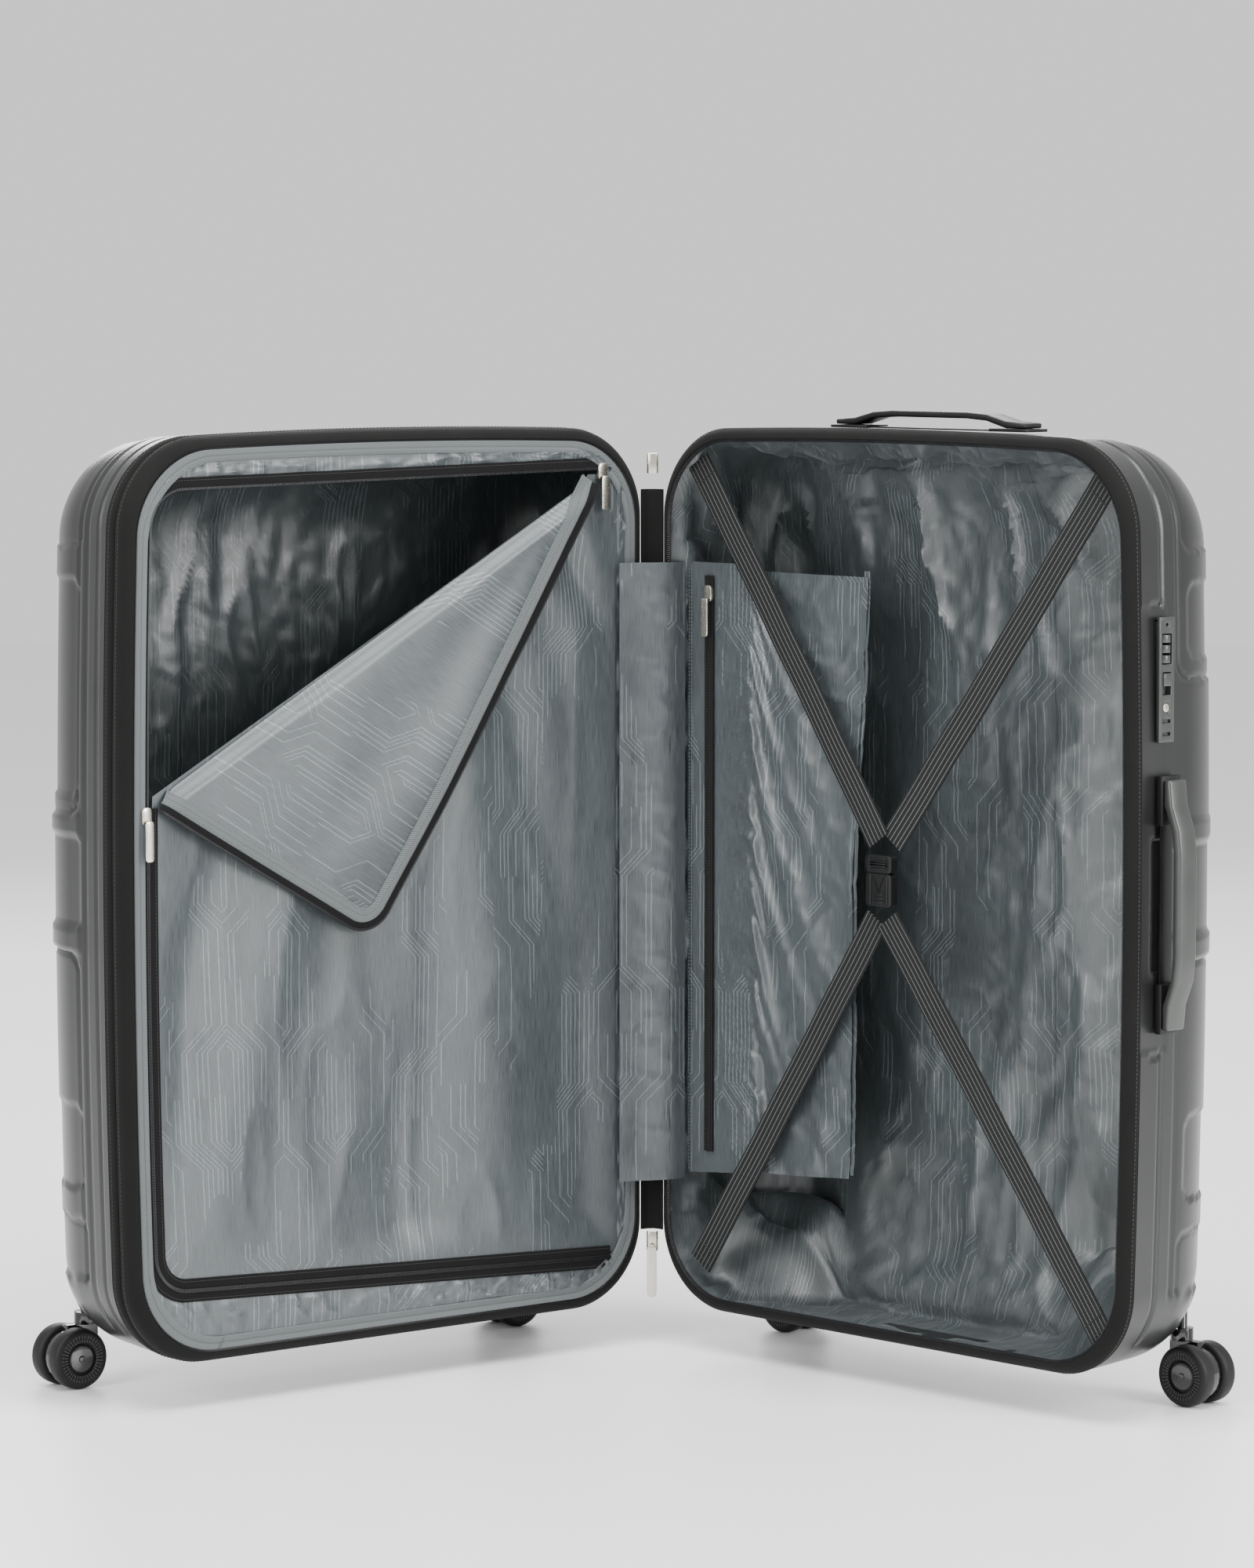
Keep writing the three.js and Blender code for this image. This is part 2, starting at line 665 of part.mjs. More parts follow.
// Casters on both halves.
for (const [half, group] of Object.entries({ back, front })) {
  for (const [corner, x] of Object.entries(casterColumns)) {
    const side = corner === "outer" ? 1 : -1;
    place(group, `wheel_housing_${half}_${corner}`, housing(x), "plastic");
    place(group, `caster_fork_${half}_${corner}`, fork(x, side), "plastic");
    const offset = FENDER_WIDTH / 2 + 1 + WHEEL_WIDTH / 2;
    const axleX = x + side * TRAIL;
    const pair = { near: CASTER_DEPTH - offset, far: CASTER_DEPTH + offset };
    for (const [which, y] of Object.entries(pair)) {
      place(group, `wheel_${half}_${corner}_${which}`, wheel(axleX, y), "tyre");
    }
  }
}

// Textile spine between the two bands, and the sliders that rest at the ends of the main zip.
function curvedStrip(route, thick, steps) {
  const curve = new THREE.SplineCurve(vectors(route));
  const inner = curve.getPoints(steps);
  const outer = inner.map((point, i) => {
    const along = curve.getTangent(i / steps);
    return new THREE.Vector2(point.x - along.y * thick, point.y + along.x * thick);
  });
  return [...inner, ...outer.reverse()];
}

const SPINE_ROUTE = [[-9, -6.5], [-5, -2.5], [0, -1], [5, -2.5], [9, -6.5]];
const COVER_ROUTE = [[-24, -26], [-9, -17.5], [9, -15], [19.5, -10.5], [27, -1]];

place(spine, "hinge_spine", slab(curvedStrip(SPINE_ROUTE, 1.2, 8), 62, 690), "textile");
place(spine, "spine_cover", slab(curvedStrip(COVER_ROUTE, 1.2, 10), 106, 629), "lining");
const onHinge = (low, high) => slab(roundedRect(-5, 5, -3, 3, 2.5, 2), low, high);
place(spine, "main_slider_top", onHinge(703, 720), "nickel");
place(spine, "main_slider_bottom", onHinge(43, 60), "nickel");
place(spine, "main_zip_puller", plate(roundedRect(-4, 4, 4, 49, 3, 2), -7.8, -5.8), "nickel");

// Origin: centre of the footprint, on the floor.
suitcase.updateMatrixWorld(true);
const bounds = new THREE.Box3().setFromObject(suitcase, true);
const centre = bounds.getCenter(new THREE.Vector3());
suitcase.position.set(-centre.x, -centre.y, -bounds.min.z);

export default suitcase;
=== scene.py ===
import json
import math

import bmesh
import bpy
import numpy as np
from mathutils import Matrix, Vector, noise

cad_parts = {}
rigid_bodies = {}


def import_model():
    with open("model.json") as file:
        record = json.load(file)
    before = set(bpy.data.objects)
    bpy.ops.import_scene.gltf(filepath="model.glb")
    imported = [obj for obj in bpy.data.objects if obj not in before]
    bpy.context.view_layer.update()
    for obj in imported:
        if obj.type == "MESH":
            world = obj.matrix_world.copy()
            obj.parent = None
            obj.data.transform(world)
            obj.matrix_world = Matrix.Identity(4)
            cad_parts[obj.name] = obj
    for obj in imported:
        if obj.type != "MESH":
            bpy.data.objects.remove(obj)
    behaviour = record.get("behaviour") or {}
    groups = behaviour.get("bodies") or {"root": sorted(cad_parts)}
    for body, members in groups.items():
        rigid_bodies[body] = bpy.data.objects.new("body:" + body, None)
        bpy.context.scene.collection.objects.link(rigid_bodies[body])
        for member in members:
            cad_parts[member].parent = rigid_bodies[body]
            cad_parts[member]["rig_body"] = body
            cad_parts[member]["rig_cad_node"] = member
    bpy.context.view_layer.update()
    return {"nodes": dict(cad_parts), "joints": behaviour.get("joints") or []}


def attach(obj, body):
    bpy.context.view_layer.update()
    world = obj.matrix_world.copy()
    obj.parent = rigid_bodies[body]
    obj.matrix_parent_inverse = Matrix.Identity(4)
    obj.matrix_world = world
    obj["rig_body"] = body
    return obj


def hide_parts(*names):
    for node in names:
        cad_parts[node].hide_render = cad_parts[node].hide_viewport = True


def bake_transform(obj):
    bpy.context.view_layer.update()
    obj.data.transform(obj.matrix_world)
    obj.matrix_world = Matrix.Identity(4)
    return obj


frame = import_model()

# ---- the two halves' frames -----------------------------------------------------------------------
# Shapes are drawn in each half's own millimetres, as in the CAD: u from the hinge side to the free
# side, d from the rim plane towards the shell's back, z up from the bottom of the shell.

MM = 0.001
SHELL_WIDTH = 520
SHELL_HEIGHT = 745
SHELL_DEPTH = 138
SIDE_BOW = 8
TOP_BOW = 6
CORNER_RADIUS = 70
CORNER_TIGHTEN = 0.35
BACK_RADIUS = 85
DRAFT = 2
HINGE_OUT = 8
BACK_ZIP = 13
FRONT_ZIP = 30
CASTERS = {"hinge": 52, "outer": 466}
CASTER_DEPTH = 118
HALF_TURN = (math.pi - math.radians(97)) / 2
HINGE = next(j["pos_m"] for j in frame["joints"] if j["name"] == "case_hinge")


class Half:
    """One half of the case, turned about the hinge line."""

    def __init__(self, name, mirror, zip_reach):
        c, s = math.cos(HALF_TURN), math.sin(HALF_TURN)
        self.name = name
        across = mirror * (HINGE_OUT * c + zip_reach * s)
        along = zip_reach * c - HINGE_OUT * s
        self.origin = np.array(HINGE) + MM * np.array([across, along, 0])
        self.axes = np.array([[mirror * c, -s, 0], [mirror * s, c, 0], [0, 0, 1]])

    def world(self, points):
        return self.origin + MM * np.asarray(points, float) @ self.axes


class Middle:
    """The hinge line's own frame: x across, y towards the back, z up."""

    def world(self, points):
        return np.array(HINGE) + MM * np.asarray(points, float)


BACK = Half("back", 1, BACK_ZIP)
FRONT = Half("front", -1, FRONT_ZIP)
SPINE = Middle()


# ---- meshes ---------------------------------------------------------------------------------------

def grid_faces(rows, cols, wrap=False):
    i = np.arange(rows - 1)[:, None]
    j = np.arange(cols if wrap else cols - 1)[None, :]
    k = (j + 1) % cols
    return np.stack([i * cols + j, i * cols + k, (i + 1) * cols + k, (i + 1) * cols + j], -1).reshape(-1, 4)


class Shape:
    """Points in a half's millimetres, faces, and flat coordinates in millimetres for the weave."""

    def __init__(self):
        self.points = []
        self.faces = []
        self.flat = []
        self.slots = []
        self.count = 0

    def add(self, points, faces, flat=None, slot=0):
        points = np.asarray(points, float).reshape(-1, 3)
        flat = points[:, [0, 2]] if flat is None else np.asarray(flat, float).reshape(-1, 2)
        self.points.append(points)
        self.flat.append(flat)
        for face in faces:
            self.faces.append([int(i) + self.count for i in face])
        self.slots += [slot] * len(faces)
        self.count += len(points)
        return self

    def grid(self, points, flat=None, wrap=False, slot=0):
        points = np.asarray(points, float)
        return self.add(points, grid_faces(points.shape[0], points.shape[1], wrap), flat, slot)

    def tube(self, rings, slot=0, closed=False):
        """Skin over rings of equal point counts, with round caps unless the rings close on themselves."""
        rings = np.asarray(rings, float)
        n, m = rings.shape[:2]
        if closed:
            faces = grid_faces(n + 1, m, True) % (n * m)
            return self.add(rings, faces, slot=slot)
        faces = [list(f) for f in grid_faces(n, m, True)]
        faces += [list(range(m))[::-1], [(n - 1) * m + i for i in range(m)]]
        return self.add(rings, faces, slot=slot)

    def merge(self, other, slot=None):
        for points, flat in zip(other.points, other.flat):
            self.points.append(points)
            self.flat.append(flat)
        self.faces += [[i + self.count for i in f] for f in other.faces]
        self.slots += other.slots if slot is None else [slot] * len(other.faces)
        self.count += other.count
        return self


def piece(name, half, shape, materials, body=None, replaces=(), smooth=math.radians(40),
          weld=True):
    """A Blender object from a shape, riding on its CAD body."""
    points = half.world(np.concatenate(shape.points))
    mesh = bpy.data.meshes.new(name)
    mesh.from_pydata(points.tolist(), [], shape.faces)
    layer = mesh.uv_layers.new(name="flat")
    flat = np.concatenate(shape.flat) * MM
    corners = np.zeros(len(mesh.loops), np.int32)
    mesh.loops.foreach_get("vertex_index", corners)
    layer.data.foreach_set("uv", flat[corners].astype(np.float32).ravel())
    mesh.polygons.foreach_set("material_index", shape.slots)
    mesh.polygons.foreach_set("use_smooth", [True] * len(mesh.polygons))
    if weld:
        work = bmesh.new()
        work.from_mesh(mesh)
        bmesh.ops.remove_doubles(work, verts=work.verts, dist=2e-6)
        bmesh.ops.dissolve_degenerate(work, dist=1e-7, edges=work.edges)
        bmesh.ops.recalc_face_normals(work, faces=work.faces)
        work.to_mesh(mesh)
        work.free()
    if smooth:
        mesh.set_sharp_from_angle(angle=smooth)
    for material in materials if isinstance(materials, (list, tuple)) else [materials]:
        mesh.materials.append(material)
    made = bpy.data.objects.new(name, mesh)
    bpy.context.scene.collection.objects.link(made)
    if body:
        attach(made, body)
    if replaces:
        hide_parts(*([replaces] if isinstance(replaces, str) else replaces))
    return made


def soft_box(low, high, radius=0.6, slot=0, segments=2):
    """Box with rounded edges."""
    work = bmesh.new()
    bmesh.ops.create_cube(work, size=1)
    size = np.subtract(high, low)
    middle = np.add(high, low) / 2
    for v in work.verts:
        v.co = Vector(np.array(v.co) * size + middle)
    bmesh.ops.bevel(work, geom=work.edges[:] + work.verts[:], offset=min(radius, size.min() / 2.1),
                    segments=segments, profile=0.5, affect="EDGES")
    work.verts.ensure_lookup_table()
    points = [tuple(v.co) for v in work.verts]
    faces = [[v.index for v in f.verts] for f in work.faces]
    work.free()
    return Shape().add(points, faces, slot=slot)


def turned(profile, centre, axis, sides=48, slot=0):
    """Surface of revolution round an axis through centre; profile is (radius, place along the axis)."""
    a = np.linspace(0, 2 * math.pi, sides, endpoint=False)
    cos, sin = np.cos(a), np.sin(a)
    others = [k for k in range(3) if k != axis]
    rings = np.zeros((len(profile), sides, 3))
    for row, (radius, along) in enumerate(profile):
        rings[row, :, axis] = centre[axis] + along
        rings[row, :, others[0]] = centre[others[0]] + radius * cos
        rings[row, :, others[1]] = centre[others[1]] + radius * sin
    return Shape().tube(rings, slot=slot)


def along_path(path, closed=False):
    """Unit tangents and running length of a path of points."""
    path = np.asarray(path, float)
    if closed:
        step = np.roll(path, -1, 0) - path
        tangent = np.roll(path, -1, 0) - np.roll(path, 1, 0)
    else:
        step = np.diff(path, axis=0)
        tangent = np.gradient(path, axis=0)
    lengths = np.linalg.norm(step, axis=1)
    running = np.concatenate([[0], np.cumsum(lengths)])
    return tangent / np.linalg.norm(tangent, axis=1)[:, None], running


def resample(path, spacing, closed=False):
    path = np.asarray(path, float)
    if closed:
        path = np.vstack([path, path[:1]])
    running = np.concatenate([[0], np.cumsum(np.linalg.norm(np.diff(path, axis=0), axis=1))])
    count = max(2, int(round(running[-1] / spacing)) + 1)
    at = np.linspace(0, running[-1], count)
    made = np.stack([np.interp(at, running, path[:, k]) for k in range(path.shape[1])], 1)
    return made[:-1] if closed else made


def beads(path, out, pitch, size, closed=False, slot=0, taper=0.75):
    """A row of small blocks along a path: zip coils and stitches. out is the surface's outward
    direction, one vector or one for each point; size is along, across and out of the surface."""
    path = np.asarray(path, float)
    outs = np.broadcast_to(np.asarray(out, float), path.shape)
    both = resample(np.hstack([path, outs]), pitch, closed)
    points, outs = both[:, :3], both[:, 3:]
    outs = outs / np.linalg.norm(outs, axis=1)[:, None]
    tangents, _ = along_path(points, closed)
    across = np.cross(outs, tangents)
    across /= np.linalg.norm(across, axis=1)[:, None]
    a, b, c = np.array(size) / 2
    corners = np.array([(-1, -1, -1), (1, -1, -1), (1, 1, -1), (-1, 1, -1),
                        (-taper, -taper, 1), (taper, -taper, 1), (taper, taper, 1), (-taper, taper, 1)],
                       float)
    made = (points[:, None] + corners[None, :, :1] * a * tangents[:, None]
            + corners[None, :, 1:2] * b * across[:, None] + corners[None, :, 2:] * c * outs[:, None])
    base = np.array([(0, 3, 2, 1), (4, 5, 6, 7), (0, 1, 5, 4), (1, 2, 6, 5), (2, 3, 7, 6), (3, 0, 4, 7)])
    faces = (base[None] + 8 * np.arange(len(points))[:, None, None]).reshape(-1, 4)
    return Shape().add(made.reshape(-1, 3), faces, slot=slot)


def smooth_step(x):
    """0 below 0, 1 above 1, and a smooth ramp between."""
    x = np.clip(x, 0, 1)
    return x * x * (3 - 2 * x)


def fractal(points, scale, octaves=3, seed=0.0):
    """Smooth noise at each point, about -1 to 1."""
    shift = Vector((seed * 13.7, seed * 7.1, seed * 3.3))
    return np.array([noise.fractal(Vector(p) * scale + shift, 0.9, 2.1, octaves) for p in points])


def ridged(points, scale, seed=0.0, octaves=3):
    """Sharp creases: 1 on a crease, falling off to 0."""
    return np.clip(1 - np.abs(fractal(points, scale, octaves, seed)) * 2.6, 0, 1) ** 1.5


# ---- the case's outline ---------------------------------------------------------------------------

CORNER_COLS = 26
SIDE_COLS = 196
TOP_COLS = 100


def bulge(points):
    """Bows the free side and the top of the outline outwards."""
    across = points[:, 0] / (SHELL_WIDTH - SIDE_BOW)
    up = points[:, 1] / (SHELL_HEIGHT - TOP_BOW)
    return np.stack([points[:, 0] + SIDE_BOW * across * 4 * up * (1 - up),
                     points[:, 1] + TOP_BOW * up * 4 * across * (1 - across)], 1)


def outline(inset):
    """The rim's (u, z) points moved in by inset, counter-clockwise from the bottom free corner."""
    radius = max(CORNER_RADIUS - inset * CORNER_TIGHTEN, 4)
    right = SHELL_WIDTH - SIDE_BOW - inset
    top = SHELL_HEIGHT - TOP_BOW - inset
    corners = [(right - radius, inset + radius, -90), (right - radius, top - radius, 0),
               (inset + radius, top - radius, 90), (inset + radius, inset + radius, 180)]
    arcs = []
    for x, z, start in corners:
        a = np.radians(start + 90 * np.linspace(0, 1, CORNER_COLS))
        arcs.append(np.stack([x + radius * np.cos(a), z + radius * np.sin(a)], 1))
    made = []
    for i, arc in enumerate(arcs):
        follow = arcs[(i + 1) % 4]
        steps = (SIDE_COLS if i % 2 == 0 else TOP_COLS) + 1
        t = np.linspace(0, 1, steps + 1)[1:-1, None]
        made += [arc, arc[-1] + (follow[0] - arc[-1]) * t]
    return bulge(np.concatenate(made))


RIM = outline(0)
RIM_RUN = along_path(np.column_stack([RIM, np.zeros(len(RIM))]), True)[1][:-1]
COLS = len(RIM)


def ring(inset, depth):
    """The rim's outline moved in by inset, at a depth."""
    rim = outline(inset)
    return np.column_stack([rim[:, 0], np.full(len(rim), float(depth)), rim[:, 1]])


def middle_faces(last, columns):
    """Faces that close the narrow innermost ring: its two sides joined across, and its two ends."""
    half = columns // 2
    ends = columns * TOP_COLS // COLS
    side = half - ends
    mirror = 2 * side + ends - 1
    made = [[last + k, last + k + 1, last + mirror - k - 1, last + mirror - k] for k in range(side - 1)]
    made.append([last + k for k in range(side - 1, side + ends + 1)])
    made.append([last + k % columns for k in range(mirror, columns + 1)])
    return made


def swept(profile, flat_start=0.0):
    """Rings round the whole rim for a list of (inset, depth), with flat coordinates."""
    rings = np.array([ring(i, d) for i, d in profile])
    steps = np.concatenate([[0], np.cumsum(np.hypot(*np.diff(np.array(profile), axis=0).T))])
    flat = np.stack(np.broadcast_arrays(RIM_RUN[None, :], flat_start + steps[:, None]), -1)
    return rings, flat


def wall_profile(offset, depths, arc_steps, back=None):
    """(inset, depth) from the rim along the wall and round to the back, for a skin offset inwards;
    back lists how far in the flat back goes on."""
    turn = SHELL_DEPTH - BACK_RADIUS
    made = [(offset + DRAFT * max(d, 0) / turn, d) for d in depths]
    for step in range(1, arc_steps + 1):
        a = math.pi / 2 * step / arc_steps
        radius = BACK_RADIUS - offset
        made.append((DRAFT + BACK_RADIUS - radius * math.cos(a), turn + radius * math.sin(a)))
    for inset in back or []:
        made.append((inset, SHELL_DEPTH - offset))
    return made


# ---- materials ------------------------------------------------------------------------------------

class Field:
    """A value in a shader's node tree, with arithmetic."""

    def __init__(self, tree, socket):
        self.tree = tree
        self.socket = socket

    def of(self, operation, *others):
        node = self.tree.nodes.new("ShaderNodeMath")
        node.operation = operation
        self.tree.links.new(self.socket, node.inputs[0])
        for place, other in enumerate(others, 1):
            if isinstance(other, Field):
                self.tree.links.new(other.socket, node.inputs[place])
            else:
                node.inputs[place].default_value = other
        return Field(self.tree, node.outputs[0])

    def __add__(self, other):
        return self.of("ADD", other)

    def __sub__(self, other):
        return self.of("SUBTRACT", other)

    def __mul__(self, other):
        return self.of("MULTIPLY", other)

    def __truediv__(self, other):
        return self.of("DIVIDE", other)

    def clamp(self, low, high):
        return self.of("MAXIMUM", low).of("MINIMUM", high)

    def near(self, middle, width):
        """1 within width of middle, otherwise 0."""
        return (self - middle).of("ABSOLUTE").of("LESS_THAN", width)


class Paint:
    """A principled material whose colour, roughness and bump are built from fields in millimetres."""

    def __init__(self, name, roughness=0.5, metallic=0.0, **constants):
        self.material = bpy.data.materials.new(name)
        self.material.use_nodes = True
        self.tree = self.material.node_tree
        self.shader = self.tree.nodes["Principled BSDF"]
        self.shader.inputs["Roughness"].default_value = roughness
        self.shader.inputs["Metallic"].default_value = metallic
        for socket, value in constants.items():
            self.shader.inputs[socket.replace("_", " ")].default_value = value
        self.space = None

    def node(self, kind, **settings):
        made = self.tree.nodes.new("ShaderNode" + kind)
        for key, value in settings.items():
            setattr(made, key, value)
        return made

    def flat(self):
        """The piece's own flat coordinates, as two fields in millimetres."""
        source = self.node("UVMap", uv_map="flat").outputs["UV"]
        return self.millimetres(source)[:2]

    def solid(self):
        """Three fields, in millimetres, of the place on the object."""
        return self.millimetres(self.node("TexCoord").outputs["Object"])

    def millimetres(self, source):
        scaled = self.node("VectorMath", operation="SCALE")
        scaled.inputs["Scale"].default_value = 1000
        self.tree.links.new(source, scaled.inputs[0])
        self.space = scaled.outputs[0]
        parts = self.node("SeparateXYZ")
        self.tree.links.new(self.space, parts.inputs[0])
        return [Field(self.tree, parts.outputs[k]) for k in range(3)]

    def noise(self, size, detail=2.0, stretch=(1, 1, 1), rough=0.5):
        """Noise between 0 and 1 whose features are about size millimetres."""
        mapped = self.node("VectorMath", operation="MULTIPLY")
        mapped.inputs[1].default_value = [1 / (size * s) for s in stretch]
        self.tree.links.new(self.space, mapped.inputs[0])
        made = self.node("TexNoise")
        made.inputs["Scale"].default_value = 1
        made.inputs["Detail"].default_value = detail
        made.inputs["Roughness"].default_value = rough
        self.tree.links.new(mapped.outputs[0], made.inputs["Vector"])
        return Field(self.tree, made.outputs["Fac"])

    def random(self, a, b):
        """One random number for each pair of whole numbers."""
        joined = self.node("CombineXYZ")
        self.tree.links.new(a.socket, joined.inputs[0])
        self.tree.links.new(b.socket, joined.inputs[1])
        made = self.node("TexWhiteNoise", noise_dimensions="2D")
        self.tree.links.new(joined.outputs[0], made.inputs["Vector"])
        return Field(self.tree, made.outputs["Value"])

    def colour(self, field, low, high):
        """Colour that goes from low to high with the field."""
        mix = self.node("Mix", data_type="RGBA")
        mix.inputs["A"].default_value = (*low, 1)
        mix.inputs["B"].default_value = (*high, 1)
        self.tree.links.new(field.socket, mix.inputs["Factor"])
        self.tree.links.new(mix.outputs["Result"], self.shader.inputs["Base Color"])
        return self

    def rough(self, field):
        self.tree.links.new(field.socket, self.shader.inputs["Roughness"])
        return self

    def bump(self, field, height, strength=1.0):
        """Relief of that height in millimetres where the field is 1."""
        made = self.node("Bump")
        made.inputs["Distance"].default_value = height * MM
        made.inputs["Strength"].default_value = strength
        self.tree.links.new(field.socket, made.inputs["Height"])
        self.tree.links.new(made.outputs["Normal"], self.shader.inputs["Normal"])
        return self


def shell_paint():
    """Satin gunmetal polycarbonate with a fine crossed diagonal grain."""
    paint = Paint("gunmetal_polycarbonate", metallic=0.75, Coat_Weight=0.25, Coat_Roughness=0.2)
    x, y = paint.flat()
    grain = ((x + y) * 4.2).of("SINE") * ((x - y) * 4.2).of("SINE")
    cloud = paint.noise(90, 3)
    speck = paint.noise(0.7, 1)
    paint.colour(cloud * 0.7 + speck * 0.3, (0.02, 0.0215, 0.021), (0.046, 0.0485, 0.0465))
    paint.rough(cloud * 0.1 + 0.26 + grain * 0.03)
    return paint.bump(grain * 0.5 + speck * 0.5, 0.05).material


def lining_paint(name, low, high, lines, seam=-1000):
    """Satin polyester with fine vertical slubs, pale lines that jog at 45 degrees, and an upright seam."""
    paint = Paint(name, Sheen_Weight=0.12, Sheen_Roughness=0.35, Specular_IOR_Level=0.8)
    x, y = paint.flat()
    slub = paint.noise(0.9, 2, (1, 22, 1), 0.6)
    cloud = paint.noise(130, 2)
    column = (x / 52).of("FLOOR")
    run = y + paint.random(column, column) * 400
    jog = (run.of("PINGPONG", 96) - 36).clamp(0, 22)
    moved = (x + jog) / 4.4
    index = moved.of("FLOOR")
    stretch = (run / 192).of("FLOOR")
    drawn = moved.of("FRACT").near(0.5, 0.12)
    kept = paint.random(index, stretch).of("GREATER_THAN", 0.5)
    cluster = paint.noise(110, 1, (0.6, 2.4, 1)).of("GREATER_THAN", 0.47)
    pattern = drawn * kept * cluster
    sewn = x.near(seam, 0.9)
    paint.colour((slub - 0.5) * 0.75 + cloud * 0.35 + pattern * lines - sewn * 0.5 + 0.05, low, high)
    paint.rough(slub * 0.25 + 0.24 - pattern * 0.1)
    weave = (x * 9).of("SINE") * (y * 9).of("SINE")
    return paint.bump(slub * 0.6 + weave * 0.1 + pattern * 0.2 - sewn * 4, 0.12).material


def tape_paint(name, low, high, pitch=0.55):
    """Closely woven tape."""
    paint = Paint(name, roughness=0.8, Sheen_Weight=0.02, Sheen_Roughness=0.45, Specular_IOR_Level=0.12)
    x, y = paint.flat()
    turns = 2 * math.pi / pitch
    weave = (x * turns).of("SINE") * (y * turns).of("SINE")
    fuzz = paint.noise(0.5, 3)
    cloud = paint.noise(40, 2)
    paint.colour(weave * 0.25 + fuzz * 0.5 + cloud * 0.3, low, high)
    return paint.bump(weave * 0.5 + fuzz * 0.6, 0.16).material


def herringbone_paint():
    """Grey binding tape woven in chevrons along its middle."""
    paint = Paint("herringbone_tape", roughness=0.7, Sheen_Weight=0.2)
    x, y = paint.flat()
    arm = (y - 7.5).of("ABSOLUTE")
    rib = ((x - arm * 1.15) * 3.3).of("SINE")
    fuzz = paint.noise(0.6, 2)
    spine = y.near(7.5, 0.35)
    paint.colour(rib * 0.32 + fuzz * 0.35 + 0.32 - spine * 0.3, (0.02, 0.025, 0.026), (0.15, 0.17, 0.175))
    return paint.bump(rib * 0.7 + fuzz * 0.3 - spine * 0.5, 0.28).material


def webbing_paint():
    """Black strap webbing with rows of pale dashes along it."""
    paint = Paint("striped_webbing", roughness=0.75, Sheen_Weight=0.02, Specular_IOR_Level=0.15)
    x, y = paint.flat()
    rib = (x * 4.2).of("SINE")
    fuzz = paint.noise(0.5, 2)
    row = (y / 4.1).of("FRACT").near(0.55, 0.11)
    dash = (x / 1.5).of("FRACT").of("LESS_THAN", 0.72)
    inside = y.near(12.6, 10.6)
    pale = row * dash * inside
    paint.colour(pale * 0.5 + fuzz * 0.08 + rib * 0.02, (0.003, 0.003, 0.0033), (0.2, 0.21, 0.205))
    return paint.bump(rib * 0.5 + pale * 0.6 + fuzz * 0.4, 0.22).material


def moulded_paint(name, low, high, roughness, grain=0.06, **more):
    """Moulded plastic or rubber with a fine spark-eroded grain."""
    paint = Paint(name, **more)
    paint.solid()
    fine = paint.noise(0.6, 2)
    cloud = paint.noise(25, 2)
    paint.colour(fine * 0.5 + cloud * 0.5, low, high)
    paint.rough(cloud * 0.12 + roughness - 0.06 + fine * 0.04)
    return paint.bump(fine, grain).material


def metal_paint(name, low, high, roughness, stretch=(1, 1, 1)):
    """Plated or anodised metal with faint brushing."""
    paint = Paint(name, metallic=1.0)
    paint.solid()
    brush = paint.noise(0.8, 2, stretch)
    cloud = paint.noise(18, 2)
    paint.colour(brush * 0.5 + cloud * 0.5, low, high)
    paint.rough(brush * 0.12 + roughness)
    return paint.bump(brush, 0.02).material


SHELL = shell_paint()
LINING = lining_paint("satin_lining", (0.02, 0.026, 0.029), (0.118, 0.139, 0.146), 0.62)
# Darker copy of the same lining, with an upright seam: the lower tone is painted shade for the lining inside
# the back shell.
LINING_SEAMED_PAINTED_SHADE = lining_paint("satin_lining_seamed", (0.018, 0.024, 0.026), (0.108, 0.127, 0.133), 0.62, 358)
# Darker copy of the same lining, with its upright seam: the lower tone is painted shade for the lining
# inside the front shell.
LINING_PAINTED_SHADE = lining_paint("satin_lining_deep", (0.02, 0.026, 0.028), (0.1, 0.117, 0.122), 0.62, 364)
TAPE = tape_paint("black_tape", (0.002, 0.002, 0.0023), (0.011, 0.011, 0.011))
BAND = tape_paint("black_band", (0.002, 0.002, 0.002), (0.012, 0.0115, 0.011), 0.9)
HERRINGBONE = herringbone_paint()
WEBBING = webbing_paint()
COIL = moulded_paint("zip_coil", (0.006, 0.006, 0.007), (0.02, 0.02, 0.022), 0.3)
THREAD = moulded_paint("sewing_thread", (0.015, 0.014, 0.013), (0.035, 0.033, 0.03), 0.7)
GREY_THREAD = moulded_paint("grey_thread", (0.08, 0.09, 0.093), (0.14, 0.155, 0.16), 0.6)
PLASTIC = moulded_paint("black_plastic", (0.003, 0.003, 0.0033), (0.009, 0.009, 0.0095), 0.4,
                        Specular_IOR_Level=0.3)
GREY_PLASTIC = moulded_paint("gunmetal_plastic", (0.055, 0.058, 0.056), (0.09, 0.094, 0.09),
                             0.32, metallic=0.7)
GLOSS = moulded_paint("gloss_plastic", (0.003, 0.003, 0.0035), (0.008, 0.008, 0.0085),
                      0.13, 0.01, Coat_Weight=0.6)
TYRE = moulded_paint("tyre_rubber", (0.004, 0.004, 0.0043), (0.01, 0.0103, 0.0107), 0.5, 0.08,
                     Specular_IOR_Level=0.25)
NICKEL = metal_paint("satin_nickel", (0.5, 0.47, 0.4), (0.72, 0.69, 0.6), 0.2)
ALUMINIUM = metal_paint("anodised_tube", (0.5, 0.51, 0.52), (0.66, 0.67, 0.68), 0.28, (1, 1, 30))


# ---- hard shells ----------------------------------------------------------------------------------

WALL_ROWS = [0, 1.2, 2.6, 4.5, 6.5, 8.5, 10.5, 13] + [13 + 2.5 * k for k in range(1, 17)]
BACK_INSETS = [87 + 3.2 * k for k in range(1, 51)]
CUP = (159, 361, 95, 673)
LOCK_HOLE = (507, 603, 16.8, 33.2)
MOULD_DEPTH = 1.4


